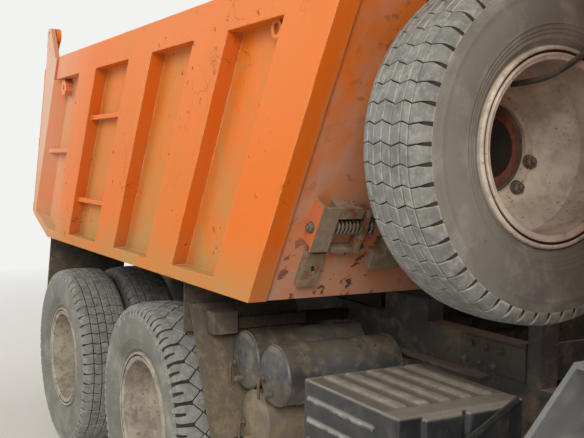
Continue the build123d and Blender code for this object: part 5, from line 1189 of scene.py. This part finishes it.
# Ribs pale, partly worn by hands and boots, partly painted highlight; grooves between them dark as painted shade
x, y, z = places_of(battery_shell).T
height, reach = z - BATT_TOP, -BATT_OUT - y
worn_and_highlit = np.maximum(height - 0.0055, np.where(height < -0.02, reach - 0.0045, 0.0)) > 0
groove_shade = (np.abs(height + 0.0005) < 0.003) & (x < BATT_FRONT - 0.075) & (x > BATT_REAR + 0.03)
worn_highlit_and_shaded = np.where(worn_and_highlit, 0.82, np.where(groove_shade, 0.32, 1.0)).astype(np.float32)
battery_shell.data.attributes.new("lift", "FLOAT", "POINT").data.foreach_set("value", worn_highlit_and_shaded)
arm = plates("battery_arm", [((BATT_REAR + 0.040, -BATT_IN - 0.010, 0.710), (BATT_FRONT - 0.040, -RAIL_FACE, 0.790))],
             "frame", 3)
battery_shell = joined("battery_shell", [battery_shell, arm])
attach(battery_shell, "chassis")
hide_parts("battery_box")
print("battery shell faces", len(battery_shell.data.polygons))

# %% The lid's edge, a strap across the front, and two clips at the lid's seam
lid_line = rounded(rectangle(BATT_REAR - 0.002, -1.122, BATT_FRONT - 0.003, -0.628), 0.02, 3)
lid_edge = loop("lid_edge", [(x, y, 0.738) for x, y in lid_line], 0.005, "plastic")
strap_way = Vector((0, 0.170, 0.084)).normalized()
strap_matrix = Matrix.Translation((BATT_FRONT + 0.0185, -0.779, 0.934)) @ Matrix(
    ((1, 0, 0), (0, strap_way.y, -strap_way.z), (0, strap_way.z, strap_way.y))).to_4x4()
diagonal = plates("diagonal", [((-0.0035, -0.120, -0.011), (0.0035, 0.120, 0.011))], "seal", 1.5, turn=strap_matrix)
clips = plates("clips", [((0.125 + shift, -1.136, 0.716), (0.165 + shift, -1.119, 0.760)) for shift in (0.0, 0.29)],
               "steel", 3)
battery_trim = joined("battery_trim", [lid_edge, diagonal, clips])
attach(battery_trim, "chassis")

# %% Radiator: it shows through the grille
RAD_REAR, RAD_FRONT, RAD_Y, RAD_LOW, RAD_TOP = 2.980, 3.028, 0.420, 0.960, 1.310
RAD_TANK, FIN_COUNT = 0.045, 69
radiator_tanks = plates("radiator_tanks", [
    ((RAD_REAR - 0.010, -RAD_Y, RAD_TOP - RAD_TANK), (RAD_FRONT + 0.010, RAD_Y, RAD_TOP)),
    ((RAD_REAR - 0.010, -RAD_Y, RAD_LOW), (RAD_FRONT + 0.010, RAD_Y, RAD_LOW + RAD_TANK)),
    ((RAD_REAR + 0.014, -RAD_Y, RAD_LOW), (RAD_FRONT - 0.014, RAD_Y, RAD_TOP))], "iron", 6)
fin = box_lists((RAD_REAR, -0.0015, RAD_LOW + RAD_TANK), (RAD_FRONT, 0.0015, RAD_TOP - RAD_TANK))
fins = copies("fins", *fin, FIN_COUNT, "iron", (0, -RAD_Y + 0.006, 0), (0, 0.012, 0), smooth_under=35)
radiator = joined("radiator", [radiator_tanks, fins])
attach(radiator, "chassis")
print("fins", FIN_COUNT)

# %% Fuel tank: filler cap and two bands over its rounded shell
filler = turned("filler", [(-6, 0.4), (-6, 46), (10, 46), (12, 52), (30, 52), (36, 44), (37, 0.4)], 32, "steel", 35,
                (0, 0, 1))
band_line = rounded(rectangle(0.617, 0.467, 1.153, 0.983), 0.10, 8)
fuel_trim = joined("fuel_trim", [
    moved_to("filler", filler, [Matrix.Translation((0.760, 0.940, 0.980))]),
    *(loop("band", [(x + shift, y, z) for y, z in band_line], 0.0075, "frame")
      for x in (0.190, 0.730) for shift in (-0.014, 0.0, 0.014))])
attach(fuel_trim, "chassis")

# %% U-bolts of the springs
SPRING_IN, SPRING_OUT = -0.345, -0.447
u_bolts = []
for x in (FRONT_X - 0.060, FRONT_X + 0.060):
    route = [(x, SPRING_OUT, 0.47), (x, SPRING_OUT, 0.672), (x, SPRING_IN, 0.672), (x, SPRING_IN, 0.47)]
    u_bolts.append(swept("u_bolt", route, 0.009, "steel", bend=False))
print("u-bolts", 2 * len(u_bolts))
u_bolts = both_sides(joined("u_bolts", u_bolts))
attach(u_bolts, node_body["leaf_springs"])

# %% The spare's clamp rod, bent over the tread and down to the carrier
clamp_rod = swept("clamp_rod", [
    (0.600, -0.760, 1.935), (0.660, -0.735, 1.940), (0.715, -0.690, 1.965), (0.752, -0.600, 2.040),
    (0.768, -0.500, 2.110), (0.768, -0.385, 2.190), (0.720, -0.335, 2.185), (0.600, -0.315, 2.150),
    (0.480, -0.310, 2.130), (0.452, -0.310, 2.060), (0.452, -0.330, 1.795)], 0.009, "iron", sides=3)
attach(clamp_rod, "chassis")
